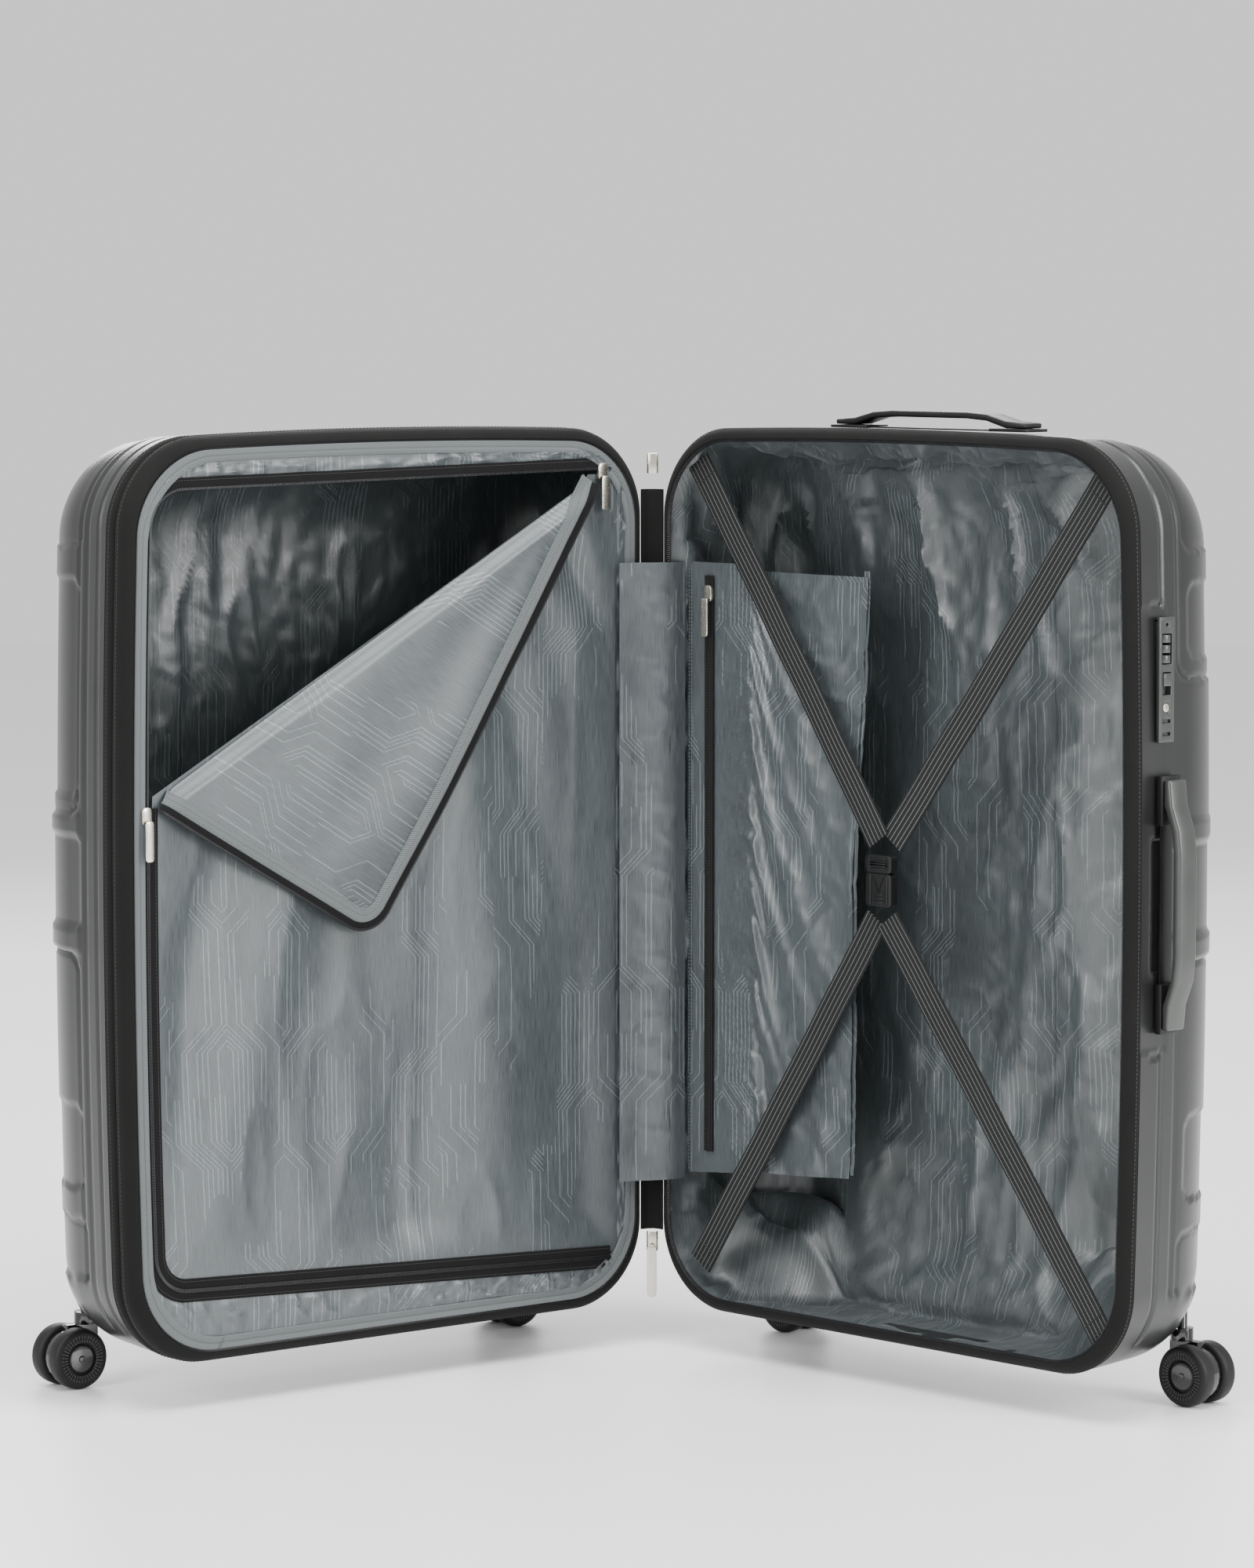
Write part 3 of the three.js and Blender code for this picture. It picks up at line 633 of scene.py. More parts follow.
def corner_distance(line, end, p, z, radius, upward=True):
    """Signed distance to the boundary of the region past depth line and above (or below) end, with a
    round corner; negative inside."""
    a = line - p
    b = (end - z) if upward else (z - end)
    qa, qb = a + radius, b + radius
    outside = np.hypot(np.maximum(qa, 0), np.maximum(qb, 0))
    return outside + np.minimum(np.maximum(qa, qb), 0) - radius


def groove(distance, width, depth):
    """Rounded channel along the line where distance is 0."""
    return -depth * np.clip(1 - (distance / width) ** 2, 0, 1)


def level(distance, step, soft=1.2):
    """Lowers everything inside a region by step, with a soft edge."""
    return -step * smooth_step(-distance / soft)


def band(value, low, high, soft=1.0):
    """1 between low and high, with soft ends."""
    return smooth_step((value - low) / soft) * smooth_step((high - value) / soft)


def relief(half, p, x, z, side, face):
    """Height of the moulded pattern: p is the way from the rim over the wall, side is +1 on the free
    side, -1 on the hinge side and 0 elsewhere, face is 1 on the flat back."""
    lock_side = half is BACK
    height = np.zeros_like(p)
    first, second, third = (26, 44, 60) if lock_side else (11, 29, 42)
    on_lock = (side > 0) & lock_side
    above_wheels = smooth_step((z - 24) / 4)
    for line, width in ((first, 2.0), (second if not lock_side else -99, 2.0)):
        run = groove(p - line, width, 1.5) * above_wheels
        height += np.where(on_lock, run * (1 - band(z, 262, 612, 2)), run)
    upper_end, lower_start = (553, 329) if lock_side else (440, 329)
    upper_end_line = 46 if lock_side else 42
    for end, line, upward in ((upper_end, upper_end_line, True), (lower_start, upper_end_line, False)):
        keep = smooth_step((z - 62) / 2) if not upward else 1
        d = corner_distance(line, end, p, z, 16, upward)
        height += (groove(d, 2.6, 1.9) + level(d, 0.9, 3)) * keep
    for end, line, upward in ((655, third - 4, True), (112, third - 4, False)):
        keep = smooth_step((z - 62) / 2) if not upward else 1
        d = corner_distance(line, end, p, z, 12, upward)
        height += (groove(d, 2.2, 1.6) + level(d, 1.0, 2.5)) * keep
    for low, high in ((upper_end + 16, 628), (139, 206)):
        d = np.maximum(corner_distance(third + 2, low, p, z, 12, True),
                       corner_distance(third + 2, high, p, z, 12, False))
        height += groove(d, 1.8, 1.2) + level(d, 1.3, 2.5)
    belt = band(z, 330, 442, 1.6) * smooth_step((p - 36) / 3)
    panel = np.maximum(corner_distance(38, 351, p, z, 6, True), corner_distance(38, 423, p, z, 6, False))
    height += belt * 0.9 + groove(panel, 1.6, 1.3) + level(panel, 1.7, 1.6)
    height += groove(z - 60, 1.5, 1.3) * smooth_step((p - 40) / 3)
    height *= MOULD_DEPTH
    if lock_side:
        niche = np.maximum(np.maximum(np.abs(z - 377.5) - 52.5, 12 - p), p - 34)
        height += np.where(side > 0, level(niche, 6.5, 4), 0)
        flat_strip = np.maximum(np.maximum(262 - z, z - 612), p - 33)
        height += np.where(side > 0, level(flat_strip, 0.7, 1.2), 0)
        step_above = band(z, 610, 615, 1.5) * band(p, 11, 27, 2)
        step_below = band(z, 256, 262, 1.5) * band(p, 11, 27, 2)
        height -= np.where(side > 0, 1.5 * (step_above + step_below), 0)
    for line in (118, 163, 208, 304, 349, 394):
        for low, high in ((478, 640), (120, 300)):
            reach = np.maximum(np.maximum(low - z, z - high), 0)
            height += groove(np.hypot(x - line, reach), 4.5, 1.7) * face
    return height


def shell(half):
    """Moulded outer skin with its grooves, the rim's edge, and the plain inside."""
    profile = wall_profile(0, WALL_ROWS, 46, BACK_INSETS)
    rings, flat = swept(profile)
    p = np.broadcast_to(flat[..., 1], rings.shape[:2])
    along = np.roll(rings, -1, 1) - np.roll(rings, 1, 1)
    down = np.gradient(rings, axis=0)
    normal = np.cross(along, down)
    size = np.linalg.norm(normal, axis=2, keepdims=True)
    normal = np.where(size > 1e-9, normal / np.maximum(size, 1e-9), (0, 1, 0))
    middle = np.array([SHELL_WIDTH / 2, SHELL_DEPTH / 2, SHELL_HEIGHT / 2])
    facing = np.sum(normal * (rings - middle), axis=2, keepdims=True)
    normal *= np.where(facing < 0, -1, 1)
    x, z = rings[..., 0], rings[..., 2]
    side = np.where(normal[..., 0] > 0.35, 1, np.where(normal[..., 0] < -0.35, -1, 0))
    face = smooth_step((p - 184) / 6)
    height = relief(half, p, x, z, side, face)
    moulded = rings + normal * height[..., None]
    inner, inner_flat = swept(wall_profile(2.2, [40, 20, 8, 0], 0))
    rows = [inner[k] for k in range(len(inner))] + [moulded[k] for k in range(len(moulded))]
    flats = [inner_flat[k] for k in range(len(inner))] + [flat[k] for k in range(len(flat))]
    every = np.array(rows)
    faces = grid_faces(len(every), COLS, True)
    centre = every.reshape(-1, 3)[faces].mean(1)
    cut = np.zeros(len(faces), bool)
    for column in CASTERS.values():
        apart = np.hypot(centre[:, 0] - column, centre[:, 1] - CASTER_DEPTH)
        cut |= (apart < 47.6) & (centre[:, 2] < 48)
    if half is BACK:
        low, high, near, bottom = CUP
        cut |= ((centre[:, 0] > low) & (centre[:, 0] < high)
                & (centre[:, 1] > near) & (centre[:, 2] > bottom))
        bottom, top, near, far = LOCK_HOLE
        cut |= ((centre[:, 0] > 480) & (centre[:, 1] > near) & (centre[:, 1] < far)
                & (centre[:, 2] > bottom) & (centre[:, 2] < top))
    last = (len(every) - 1) * COLS
    every[-1, :, 1] = every[-1, :, 1].clip(SHELL_DEPTH - 0.2, SHELL_DEPTH + 0.9)
    made = Shape().add(every, faces[~cut], np.array(flats))
    closing = middle_faces(last, COLS)
    made.faces += closing
    made.slots += [0] * len(closing)
    name = f"moulded_shell_{half.name}"
    return piece(name, half, made, SHELL, f"{half.name}_case",
                 f"{half.name}_shell", math.radians(60))


shell(BACK)
shell(FRONT)


def caster_housing(half, corner):
    """Smooth corner block over each caster, with the bowl its wheels turn under."""
    node = frame["nodes"][f"wheel_housing_{half.name}_{corner}"]
    return refined(node, f"corner_block_{half.name}_{corner}", PLASTIC, 0.5)


def refined(node, name, material, bevel=0.5, angle=28):
    """A CAD part's own shape, with welded facets and rounded edges."""
    mesh = node.data.copy()
    mesh.name = name
    mesh.materials.clear()
    mesh.materials.append(material)
    work = bmesh.new()
    work.from_mesh(mesh)
    bmesh.ops.remove_doubles(work, verts=work.verts, dist=1e-6)
    bmesh.ops.dissolve_limit(work, angle_limit=math.radians(1.0), verts=work.verts, edges=work.edges)
    bmesh.ops.recalc_face_normals(work, faces=work.faces)
    sharp = [e for e in work.edges if len(e.link_faces) == 2 and e.calc_face_angle(0) > math.radians(angle)]
    if bevel:
        bmesh.ops.bevel(work, geom=sharp, offset=bevel * MM, segments=2, profile=0.5, affect="EDGES",
                        clamp_overlap=True)
    bmesh.ops.triangulate(work, faces=[f for f in work.faces if len(f.verts) > 4])
    work.to_mesh(mesh)
    work.free()
    mesh.polygons.foreach_set("use_smooth", [True] * len(mesh.polygons))
    mesh.set_sharp_from_angle(angle=math.radians(35))
    made = bpy.data.objects.new(name, mesh)
    bpy.context.scene.collection.objects.link(made)
    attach(made, node["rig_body"])
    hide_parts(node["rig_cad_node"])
    return made


for half in (BACK, FRONT):
    for corner in CASTERS:
        caster_housing(half, corner)


# ---- textile bands, zip chains and binding round the rims -----------------------------------------

def outward():
    """Unit direction away from the rim's middle, at each rim column."""
    tangent, _ = along_path(np.column_stack([RIM[:, 0], np.zeros(COLS), RIM[:, 1]]), True)
    return np.column_stack([tangent[:, 2], np.zeros(COLS), -tangent[:, 0]])


OUT = outward()
OPENING = np.array([0.0, -1.0, 0.0])


def ring_tube(profile, slot=0):
    """Closed band round the rim whose cross-section is the closed profile."""
    rings, flat = swept(profile + profile[:1])
    n = len(profile)
    return Shape().add(rings[:-1], grid_faces(n + 1, COLS, True) % (n * COLS), flat[:-1], slot)


def rim_band(name, half, body, replaces, profile, stitch_rows, chain=None):
    """Band of woven tape with sewn lines, and the half of the zip's coil along its edge."""
    shape = ring_tube(profile)
    for inset, depth in stitch_rows:
        shape.merge(beads(ring(inset, depth), OUT, 3.4, (2.3, 0.55, 0.5), True), 1)
    if chain:
        inset, depth = chain
        shape.merge(beads(ring(inset, depth), OUT * -0.35 + OPENING, 1.7, (1.05, 3.3, 1.9), True), 2)
        shape.merge(beads(ring(inset - 2.6, depth + 0.5), OUT * 0.3 + OPENING,
                          2.6, (1.8, 0.5, 0.5), True), 1)
    return piece(name, half, shape, [BAND, THREAD, COIL], body, replaces)


BACK_BAND_PROFILE = [(2.9, -0.3), (0.3, -0.3), (-0.2, -1.4), (-0.4, -3.5), (0.1, -6.0),
                     (1.3, -8.4), (3.2, -10.7),
                     (5.6, -12.2), (8.0, -12.9), (8.6, -12.3), (8.2, -11.4), (6.3, -10.6), (4.4, -8.8),
                     (3.2, -6.2), (2.7, -3.5)]
rim_band("back_zip_band", BACK, "back_case", "back_rim_band",
         BACK_BAND_PROFILE, [(-0.35, -4.6)], (9.6, -11.1))
FRONT_BAND_PROFILE = [(2.9, -0.3), (0.3, -0.3), (-0.2, -1.6), (-0.4, -4.5), (-0.3, -7.5),
                      (0.3, -9.6), (1.4, -10.8),
                      (3.2, -10.8), (3.4, -8.5), (2.9, -4)]
rim_band("front_sewn_band", FRONT, "front_case", "front_rim_band", FRONT_BAND_PROFILE, [(-0.45, -5.0)])
EXPANDER_PROFILE = [(3.4, -12.1), (1.2, -12.1), (0.3, -13.2), (-0.1, -15.5), (-0.1, -19.0),
                    (0.6, -22.5), (2.0, -25.6),
                    (4.2, -28.0), (6.6, -29.4), (8.4, -29.8), (9.0, -29.2), (8.6, -28.2), (6.8, -27.2),
                    (4.8, -25.2), (3.2, -22.0), (2.6, -18.0), (2.6, -14.5)]
rim_band("expander_zip_band", FRONT, "front_frame", "expander_band", EXPANDER_PROFILE, [(-0.2, -17.5)],
         (9.8, -28.1))


def expander_gusset():
    """Black gusset between the sewn band and the expander band, folded away at rest."""
    profile = [(3.2, -6.5), (5.2, -9.0), (5.4, -12.5), (3.0, -14.8), (3.8, -15.0),
               (6.2, -12.5), (6.0, -9.0), (4.2, -6.5)]
    made = piece("expander_gusset", FRONT, ring_tube(profile), TAPE)
    start, end = FRONT.world([(260, -14.8, 370), (260, -6.5, 370)])
    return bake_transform(made)


expander_gusset()


TAPE_SHARE = 10 / 15


def herringbone():
    """Grey binding tape sewn round inside the front half's zip."""
    across = np.array([0, 0.6, 2.5, 5.5, 7.4, 7.6, 9.5, 12.5, 14.4, 15])
    lift = np.array([0.2, 0.9, 1.25, 1.25, 0.75, 0.75, 1.25, 1.25, 0.9, 0.2])
    rows = np.array([ring(10.4 + a * TAPE_SHARE, -28.9 - h) for a, h in zip(across, lift)])
    flat = np.stack(np.broadcast_arrays(RIM_RUN[None, :], across[:, None]), -1)
    under = np.array([ring(10.4 + a * TAPE_SHARE, -28.5) for a in across[::-1]])
    every = np.concatenate([rows, under])
    flats = np.concatenate([flat, flat[::-1]])
    n = len(every)
    shape = Shape().add(every, grid_faces(n + 1, COLS, True) % (n * COLS), flats)
    for inset in (11.2, 19.6):
        shape.merge(beads(ring(inset, -30.1), OPENING, 2.8, (1.9, 0.45, 0.35), True), 1)
    return piece("binding_tape", FRONT, shape, [HERRINGBONE, GREY_THREAD], "front_frame")


herringbone()


# ---- zipped divider of the front half -------------------------------------------------------------

DIVIDER_DEPTH = -28.0
PAGE_EDGE = 485
PAGE_CORNERS = [(PAGE_EDGE, 66), (PAGE_EDGE, 696), (27, 704), (27, 46)]
PAGE_RADII = [26, 26, 5, 5]
FOLD_A = np.array([62.0, 696.0])
FOLD_B = np.array([474.0, 465.0])
FOLD_DEPTH = -29.2
FOLD_ALONG = (FOLD_B - FOLD_A) / np.linalg.norm(FOLD_B - FOLD_A)
FOLD_UP = np.array([-FOLD_ALONG[1], FOLD_ALONG[0]])


def bowed(points):
    """Bends the page's free side outwards like the rim's."""
    made = np.array(points, float)
    up = np.clip(made[..., 1] / SHELL_HEIGHT, 0, 1)
    made[..., 0] += SIDE_BOW * (made[..., 0] / PAGE_EDGE) * 4 * up * (1 - up)
    return made


def page_outline(grow):
    """The divider page's outline moved out by grow, with the same columns as the rim."""
    corners = np.array(PAGE_CORNERS, float)
    arcs = []
    for i, corner in enumerate(corners):
        before = corner - corners[i - 1]
        after = corners[(i + 1) % 4] - corner
        before /= np.linalg.norm(before)
        after /= np.linalg.norm(after)
        normals = np.array([(before[1], -before[0]), (after[1], -after[0])])
        radius = PAGE_RADII[i]
        turn = math.acos(np.clip(before @ after, -1, 1))
        centre = corner - before * radius * math.tan(turn / 2) - normals[0] * radius
        t = np.linspace(0, 1, CORNER_COLS)[:, None]
        fan = normals[0] * np.sin((1 - t) * turn) + normals[1] * np.sin(t * turn)
        arcs.append(centre + (radius + grow) * fan / math.sin(turn))
    made = []
    for i, arc in enumerate(arcs):
        follow = arcs[(i + 1) % 4]
        steps = (SIDE_COLS if i % 2 == 0 else TOP_COLS) + 1
        t = np.linspace(0, 1, steps + 1)[1:-1, None]
        made += [arc, arc[-1] + (follow[0] - arc[-1]) * t]
    return bowed(np.concatenate(made))


TOP_END = 2 * CORNER_COLS + SIDE_COLS + TOP_COLS
BOTTOM_START = COLS - TOP_COLS
ZIPPED = np.r_[BOTTOM_START:COLS, 0:TOP_END]


def lifted(flat_points, depth):
    """Points of a half from (u, z) points and a depth."""
    flat_points = np.asarray(flat_points)
    return np.column_stack([flat_points[:, 0], np.broadcast_to(depth, len(flat_points)), flat_points[:, 1]])


def divider_margin():
    """Puckered lining between the binding tape and the page, with half of the page's zip."""
    rows, flats = [], []
    inner, rim = page_outline(12.5), outline(14)
    hinge_side = np.zeros(COLS)
    hinge_side[TOP_END:BOTTOM_START] = 1
    inner = inner + (page_outline(-1.5) - inner) * hinge_side[:, None]
    width = np.linalg.norm(inner - rim, axis=1)
    for t in np.linspace(0, 1, 16):
        points = rim + (inner - rim) * t
        free = smooth_step((t * width - 8) / 7) * smooth_step((1 - t) * width / 6)
        p3 = lifted(points, 0)
        pucker = ridged(p3, 0.035, 3.1) * 2.0 + ridged(p3 * (1, 1, 0.35), 0.09, 5.4) * 0.9
        depth = DIVIDER_DEPTH - 0.2 - pucker * free
        rows.append(lifted(points, depth))
        flats.append(points)
    shape = Shape().grid(np.array(rows), np.array(flats), True)
    return piece("divider_margin", FRONT, shape, LINING, "front_frame", weld=False)


MARGIN = divider_margin()


def zip_strip(outer, inner, columns, depth, coil_side, body, name, thick=0.9):
    """One tape of a zip between two outlines, and its coil along one edge."""
    a, b = outer[columns], inner[columns]
    levels = [(0, depth + thick / 2), (0.02, depth - thick / 2), (0.5, depth - thick / 2 - 0.15),
              (0.98, depth - thick / 2), (1, depth + thick / 2)]
    rows = np.array([lifted(a + (b - a) * t, d) for t, d in levels])
    _, running = along_path(lifted(a, 0))
    width = np.linalg.norm(b - a, axis=1).mean()
    flat = np.stack(np.broadcast_arrays(running[None, :],
                                    np.array([t for t, _ in levels])[:, None] * width), -1)
    shape = Shape().grid(rows, flat)
    edge = b if coil_side > 0 else a
    shape.merge(beads(lifted(edge, depth - thick), OPENING, 1.35, (0.85, 2.5, 1.3)), 1)
    sewn = a + (b - a) * (0.25 if coil_side > 0 else 0.75)
    shape.merge(beads(lifted(sewn, depth - thick * 0.75), OPENING, 2.8, (1.9, 0.4, 0.3)), 2)
    return piece(name, FRONT, shape, [TAPE, COIL, THREAD], body)


zip_strip(page_outline(13.5), page_outline(4.6), ZIPPED, DIVIDER_DEPTH - 0.9, 1, "front_frame",
          "divider_zip_outer")
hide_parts("divider_frame")


def fold_height(u):
    """Height of the fold line above each u."""
    return FOLD_A[1] + (np.asarray(u, float) - FOLD_A[0]) * (FOLD_B[1] - FOLD_A[1]) / (FOLD_B[0] - FOLD_A[0])


def above_fold(points):
    """How far each (u, z) point lies above the fold line."""
    return (np.asarray(points) - FOLD_A) @ FOLD_UP


CLOSED_ZIP = [i for i in ZIPPED if above_fold(page_outline(0)[i]) < -3]
CLOSED_SIDE = [i for i in CLOSED_ZIP if not TOP_END - TOP_COLS - CORNER_COLS <= i < TOP_END]
CLOSED_TOP = [i for i in CLOSED_ZIP if TOP_END - TOP_COLS - CORNER_COLS <= i < TOP_END]
zip_strip(page_outline(3.6), page_outline(-5.5), CLOSED_SIDE, DIVIDER_DEPTH - 0.9, -1, "divider_page",
          "page_zip_side")
zip_strip(page_outline(3.6), page_outline(-5.5), CLOSED_TOP, DIVIDER_DEPTH - 0.9, -1, "divider_page",
          "page_zip_top")


def page_relief(u, z):
    """Depth of the divider page's soft folds: long ones that fan down from the fold line."""
    fan = (u - 250) / (900 - z) * 560
    slow = np.sin(fan / 31 + 0.9) + 0.6 * np.sin(fan / 17 + 2.2 + z / 260)
    points = np.column_stack([u.ravel(), np.zeros(u.size), z.ravel()])
    cloud = fractal(points * (1, 1, 0.3), 0.011, 2, 8.2).reshape(u.shape)
    crease = ridged(points * (1, 1, 0.3), 0.013, 2.7, 2).reshape(u.shape)
    return 3.0 * slow + 3.6 * cloud - 1.3 * crease


def divider_page():
    """The zipped page below the fold line."""
    cols, rows = 130, 150
    u = np.linspace(27, PAGE_EDGE - 0.5, cols)
    bottom = 46 + 20 * (u - 27) / (PAGE_EDGE - 27)
    near_corner = np.clip((u - PAGE_EDGE + 26) / 26, 0, 1)
    bottom = bottom + 26 * (1 - np.sqrt(1 - near_corner ** 2))
    top = np.where(u < 62, 704 - 8 * (u - 27) / (PAGE_EDGE - 27), fold_height(u))
    t = np.linspace(0, 1, rows)[:, None]
    z = bottom + (top - bottom) * t
    uu = np.broadcast_to(u, z.shape)
    edge = np.minimum(np.minimum(uu - 27, PAGE_EDGE - uu), z - bottom)
    calm = smooth_step(edge / 45) * smooth_step(-above_fold(np.stack([uu, z], -1)) / 40 + 0.1)
    roll = smooth_step(1 + above_fold(np.stack([uu, z], -1)) / 12) * (uu > 62)
    depth = DIVIDER_DEPTH + 3.2 * calm + page_relief(uu, z) * calm - roll * 1.0
    at = bowed(np.stack([uu, z], -1))
    shape = Shape().grid(np.stack([at[..., 0], depth, z], -1), np.stack([uu, z], -1))
    made = piece("divider_page_cloth", FRONT, shape, LINING, "divider_page",
                 "divider_page", weld=False)
    return made


PAGE_CLOTH = divider_page()


def folded(points):
    """Where a point of the closed corner lies after half a turn about the fold line."""
    points = np.asarray(points, float)
    return points - 2 * above_fold(points)[..., None] * FOLD_UP


def flap_depth(points):
    """Depth of the folded corner: rolled at the fold, swelling in the middle, its tip dropping back."""
    points = np.asarray(points, float)
    off = -above_fold(points)
    run = (points - FOLD_A) @ FOLD_ALONG
    middle = np.sin(np.pi * np.clip(run / 472, 0, 1))
    flat = np.column_stack([points[..., 0].ravel(), np.zeros(off.size), points[..., 1].ravel()])
    cloud = fractal(flat, 0.011, 2, 4.4).reshape(off.shape)
    radial = np.sin(np.arctan2(off, run - 30) * 15 + 0.4) * np.clip(off / 120, 0, 1)
    tip = smooth_step((off - 130) / 70)
    swell = 6.0 * smooth_step(off / 13) * (1 - 0.5 * tip)
    swell += 3.8 * middle * np.sin(np.pi * np.clip(off / 230, 0, 1))
    edge = smooth_step(off / 30) * middle * (1 - 0.7 * tip)
    return FOLD_DEPTH - swell - (1.3 * radial + 1.2 * cloud) * edge


def corner_boundary(grow):
    """Open outline of the unzipped corner, from the top slider round to the side slider."""
    ends = page_outline(grow)[[i for i in range(TOP_END) if above_fold(page_outline(0)[i]) > 4]]
    return resample(ends[::-1], 3.0)


def unzipped_corner():
    """The corner that hangs folded over the page, with its binding and its half of the zip."""
    edge = corner_boundary(-3)
    cols, rows = len(edge), 70
    start = FOLD_A + FOLD_ALONG * 6
    finish = FOLD_A + FOLD_ALONG * 470
    base = start + (finish - start) * np.linspace(0, 1, cols)[:, None]
    t = np.linspace(0, 1, rows)[:, None, None]
    closed = base + (edge - base) * t
    at = folded(closed)
    depth = flap_depth(at)
    shape = Shape().grid(np.stack([at[..., 0], depth, at[..., 1]], -1), closed)
    cloth = piece("corner_cloth", FRONT, shape, LINING, "divider_flap", "divider_flap", weld=False)

    trim = Shape()
    strips = [(-3.0, 3.2, 0), (-15, -2.8, 1)]
    for low, high, slot in strips:
        across = np.linspace(0, 1, 6)
        a, b = folded(corner_boundary(low)), folded(corner_boundary(high))
        a = resample(a, 3.0)
        pick = np.linspace(0, len(b) - 1, len(a))
        b = np.stack([np.interp(pick, np.arange(len(b)), b[:, k]) for k in range(2)], 1)
        rows3 = []
        for t in across:
            points = a + (b - a) * t
            puff = 1.1 * math.sin(math.pi * t) if slot else 0.3
            rows3.append(lifted(points, flap_depth(points) - 0.5 - puff))
        _, running = along_path(lifted(a, 0))
        flat = np.stack(np.broadcast_arrays(running[None, :], across[:, None] * (15 if slot else 6)), -1)
        trim.grid(np.array(rows3), flat, slot=slot)
        if not slot:
            trim.merge(beads(lifted(b, flap_depth(b) - 0.6), OPENING, 1.35, (0.85, 2.5, 1.4)), 2)
        else:
            for t in (0.1, 0.9):
                sewn = a + (b - a) * t
                trim.merge(beads(lifted(sewn, flap_depth(sewn) - 1.3), OPENING, 2.8, (1.9, 0.45, 0.35)), 3)
    piece("corner_trim", FRONT, trim, [TAPE, HERRINGBONE, COIL, GREY_THREAD], "divider_flap",
          weld=False)
    return cloth


CORNER_CLOTH = unzipped_corner()


# ---- linings --------------------------------------------------------------------------------------

CLOTH_FRAMES = 20


def crumple(made, held, extra, cap):
    """Lets a cloth with that share of extra length settle from its modelled folds: held is how firmly each
    point is sewn, and no point moves further than about cap millimetres."""
    mesh = made.data
    before = np.array([v.co for v in mesh.vertices])
    group = made.vertex_groups.new(name="sewn")
    for index, weight in enumerate(np.asarray(held, float).ravel()):
        if weight > 0:
            group.add([index], float(weight), "REPLACE")
    cloth = made.modifiers.new("cloth", "CLOTH")
    cloth.settings.quality = 4
    cloth.settings.mass = 0.12
    cloth.settings.tension_stiffness = 12
    cloth.settings.compression_stiffness = 12
    cloth.settings.shear_stiffness = 4
    cloth.settings.bending_stiffness = 0.02
    cloth.settings.shrink_min = -extra
    cloth.settings.vertex_group_mass = "sewn"
    cloth.settings.effector_weights.gravity = 0.3
    cloth.collision_settings.use_collision = False
    cloth.point_cache.frame_start = 1
    cloth.point_cache.frame_end = CLOTH_FRAMES
    for step in range(1, CLOTH_FRAMES + 1):
        bpy.context.scene.frame_set(step)
    settled = made.evaluated_get(bpy.context.evaluated_depsgraph_get()).to_mesh()
    move = np.array([v.co for v in settled.vertices]) - before
    made.evaluated_get(bpy.context.evaluated_depsgraph_get()).to_mesh_clear()
    size = np.linalg.norm(move, axis=1, keepdims=True)
    limit = cap * MM
    move *= np.where(size > 1e-9, limit * np.tanh(size / limit) / np.maximum(size, 1e-9), 0)
    made.modifiers.remove(cloth)
    made.vertex_groups.remove(group)
    bpy.context.scene.frame_set(1)
    mesh.vertices.foreach_set("co", (before + move).astype(np.float32).ravel())
    mesh.update()
    return made


def lining_grid(offset, depths, arc_steps, insets, first):
    """Every other rim column, from first, along the wall and over the back; its flat coordinates fold
    the walls out so that the pattern stays upright."""
    rings, _ = swept([first] + wall_profile(offset, depths, arc_steps, insets))
    rings = rings[:, ::2]
    middle = np.array([SHELL_WIDTH, SHELL_HEIGHT]) / 2
    spread = 1 + np.multiply.outer(1 - rings[..., 1] / SHELL_DEPTH, (0.5, 0.36))
    return rings, middle + (rings[..., [0, 2]] - middle) * spread


MOUND_HEIGHT = 56
MOUND_RADIUS = 104
MOUND_SLOPE = 46
MOUND_LIMIT = 90
TROLLEY_STAND = 43.5
TROLLEY_SLOPE = 122
TROLLEY_SPAN = (30, 492)


def clear_of_casters(points):
    """Lifts the lining in a soft mound over each caster block."""
    made = points.copy()
    for column in CASTERS.values():
        apart = np.hypot(points[..., 0] - column, points[..., 1] - CASTER_DEPTH)
        top = MOUND_HEIGHT * smooth_step((MOUND_RADIUS - apart) / MOUND_SLOPE)
        made[..., 2] = np.where(made[..., 2] < MOUND_LIMIT,
                                made[..., 2] + top * smooth_step((MOUND_LIMIT - made[..., 2]) / 60),
                                made[..., 2])
    return made


def trolley_front(u):
    """How far the lining stands in over the trolley's tubes."""
    near, far = TROLLEY_SPAN
    return TROLLEY_STAND * smooth_step((u - near) / TROLLEY_SLOPE) * smooth_step((far - u) / TROLLEY_SLOPE)


def crumpled(points, inward, strength, seed):
    """Folds of loose lining, pushed inwards along each point's inward direction."""
    samples = points.reshape(-1, 3)
    stretched = samples * (1.0, 0.9, 0.32)
    slow = fractal(stretched, 0.011, 2, seed).reshape(points.shape[:2])
    creases = ridged(stretched, 0.013, seed + 1.3).reshape(points.shape[:2])
    fine = ridged(samples * (1, 1, 0.7), 0.028, seed + 2.9).reshape(points.shape[:2])
    amount = (slow * 0.5 + 0.5) * 5 + creases * 3.4 + fine * 0.9
    return points + inward * (amount * strength)[..., None]


def inward_of(rings):
    """Unit direction into the case at each point of a lining's rings."""
    along = np.roll(rings, -1, 1) - np.roll(rings, 1, 1)
    normal = np.cross(along, np.gradient(rings, axis=0))
    size = np.linalg.norm(normal, axis=2, keepdims=True)
    normal = np.where(size > 1e-9, normal / np.maximum(size, 1e-9), (0, -1, 0))
    middle = np.array([SHELL_WIDTH / 2, 30, SHELL_HEIGHT / 2])
    facing = np.sum(normal * (middle - rings), axis=2, keepdims=True)
    return normal * np.where(facing < 0, -1, 1)


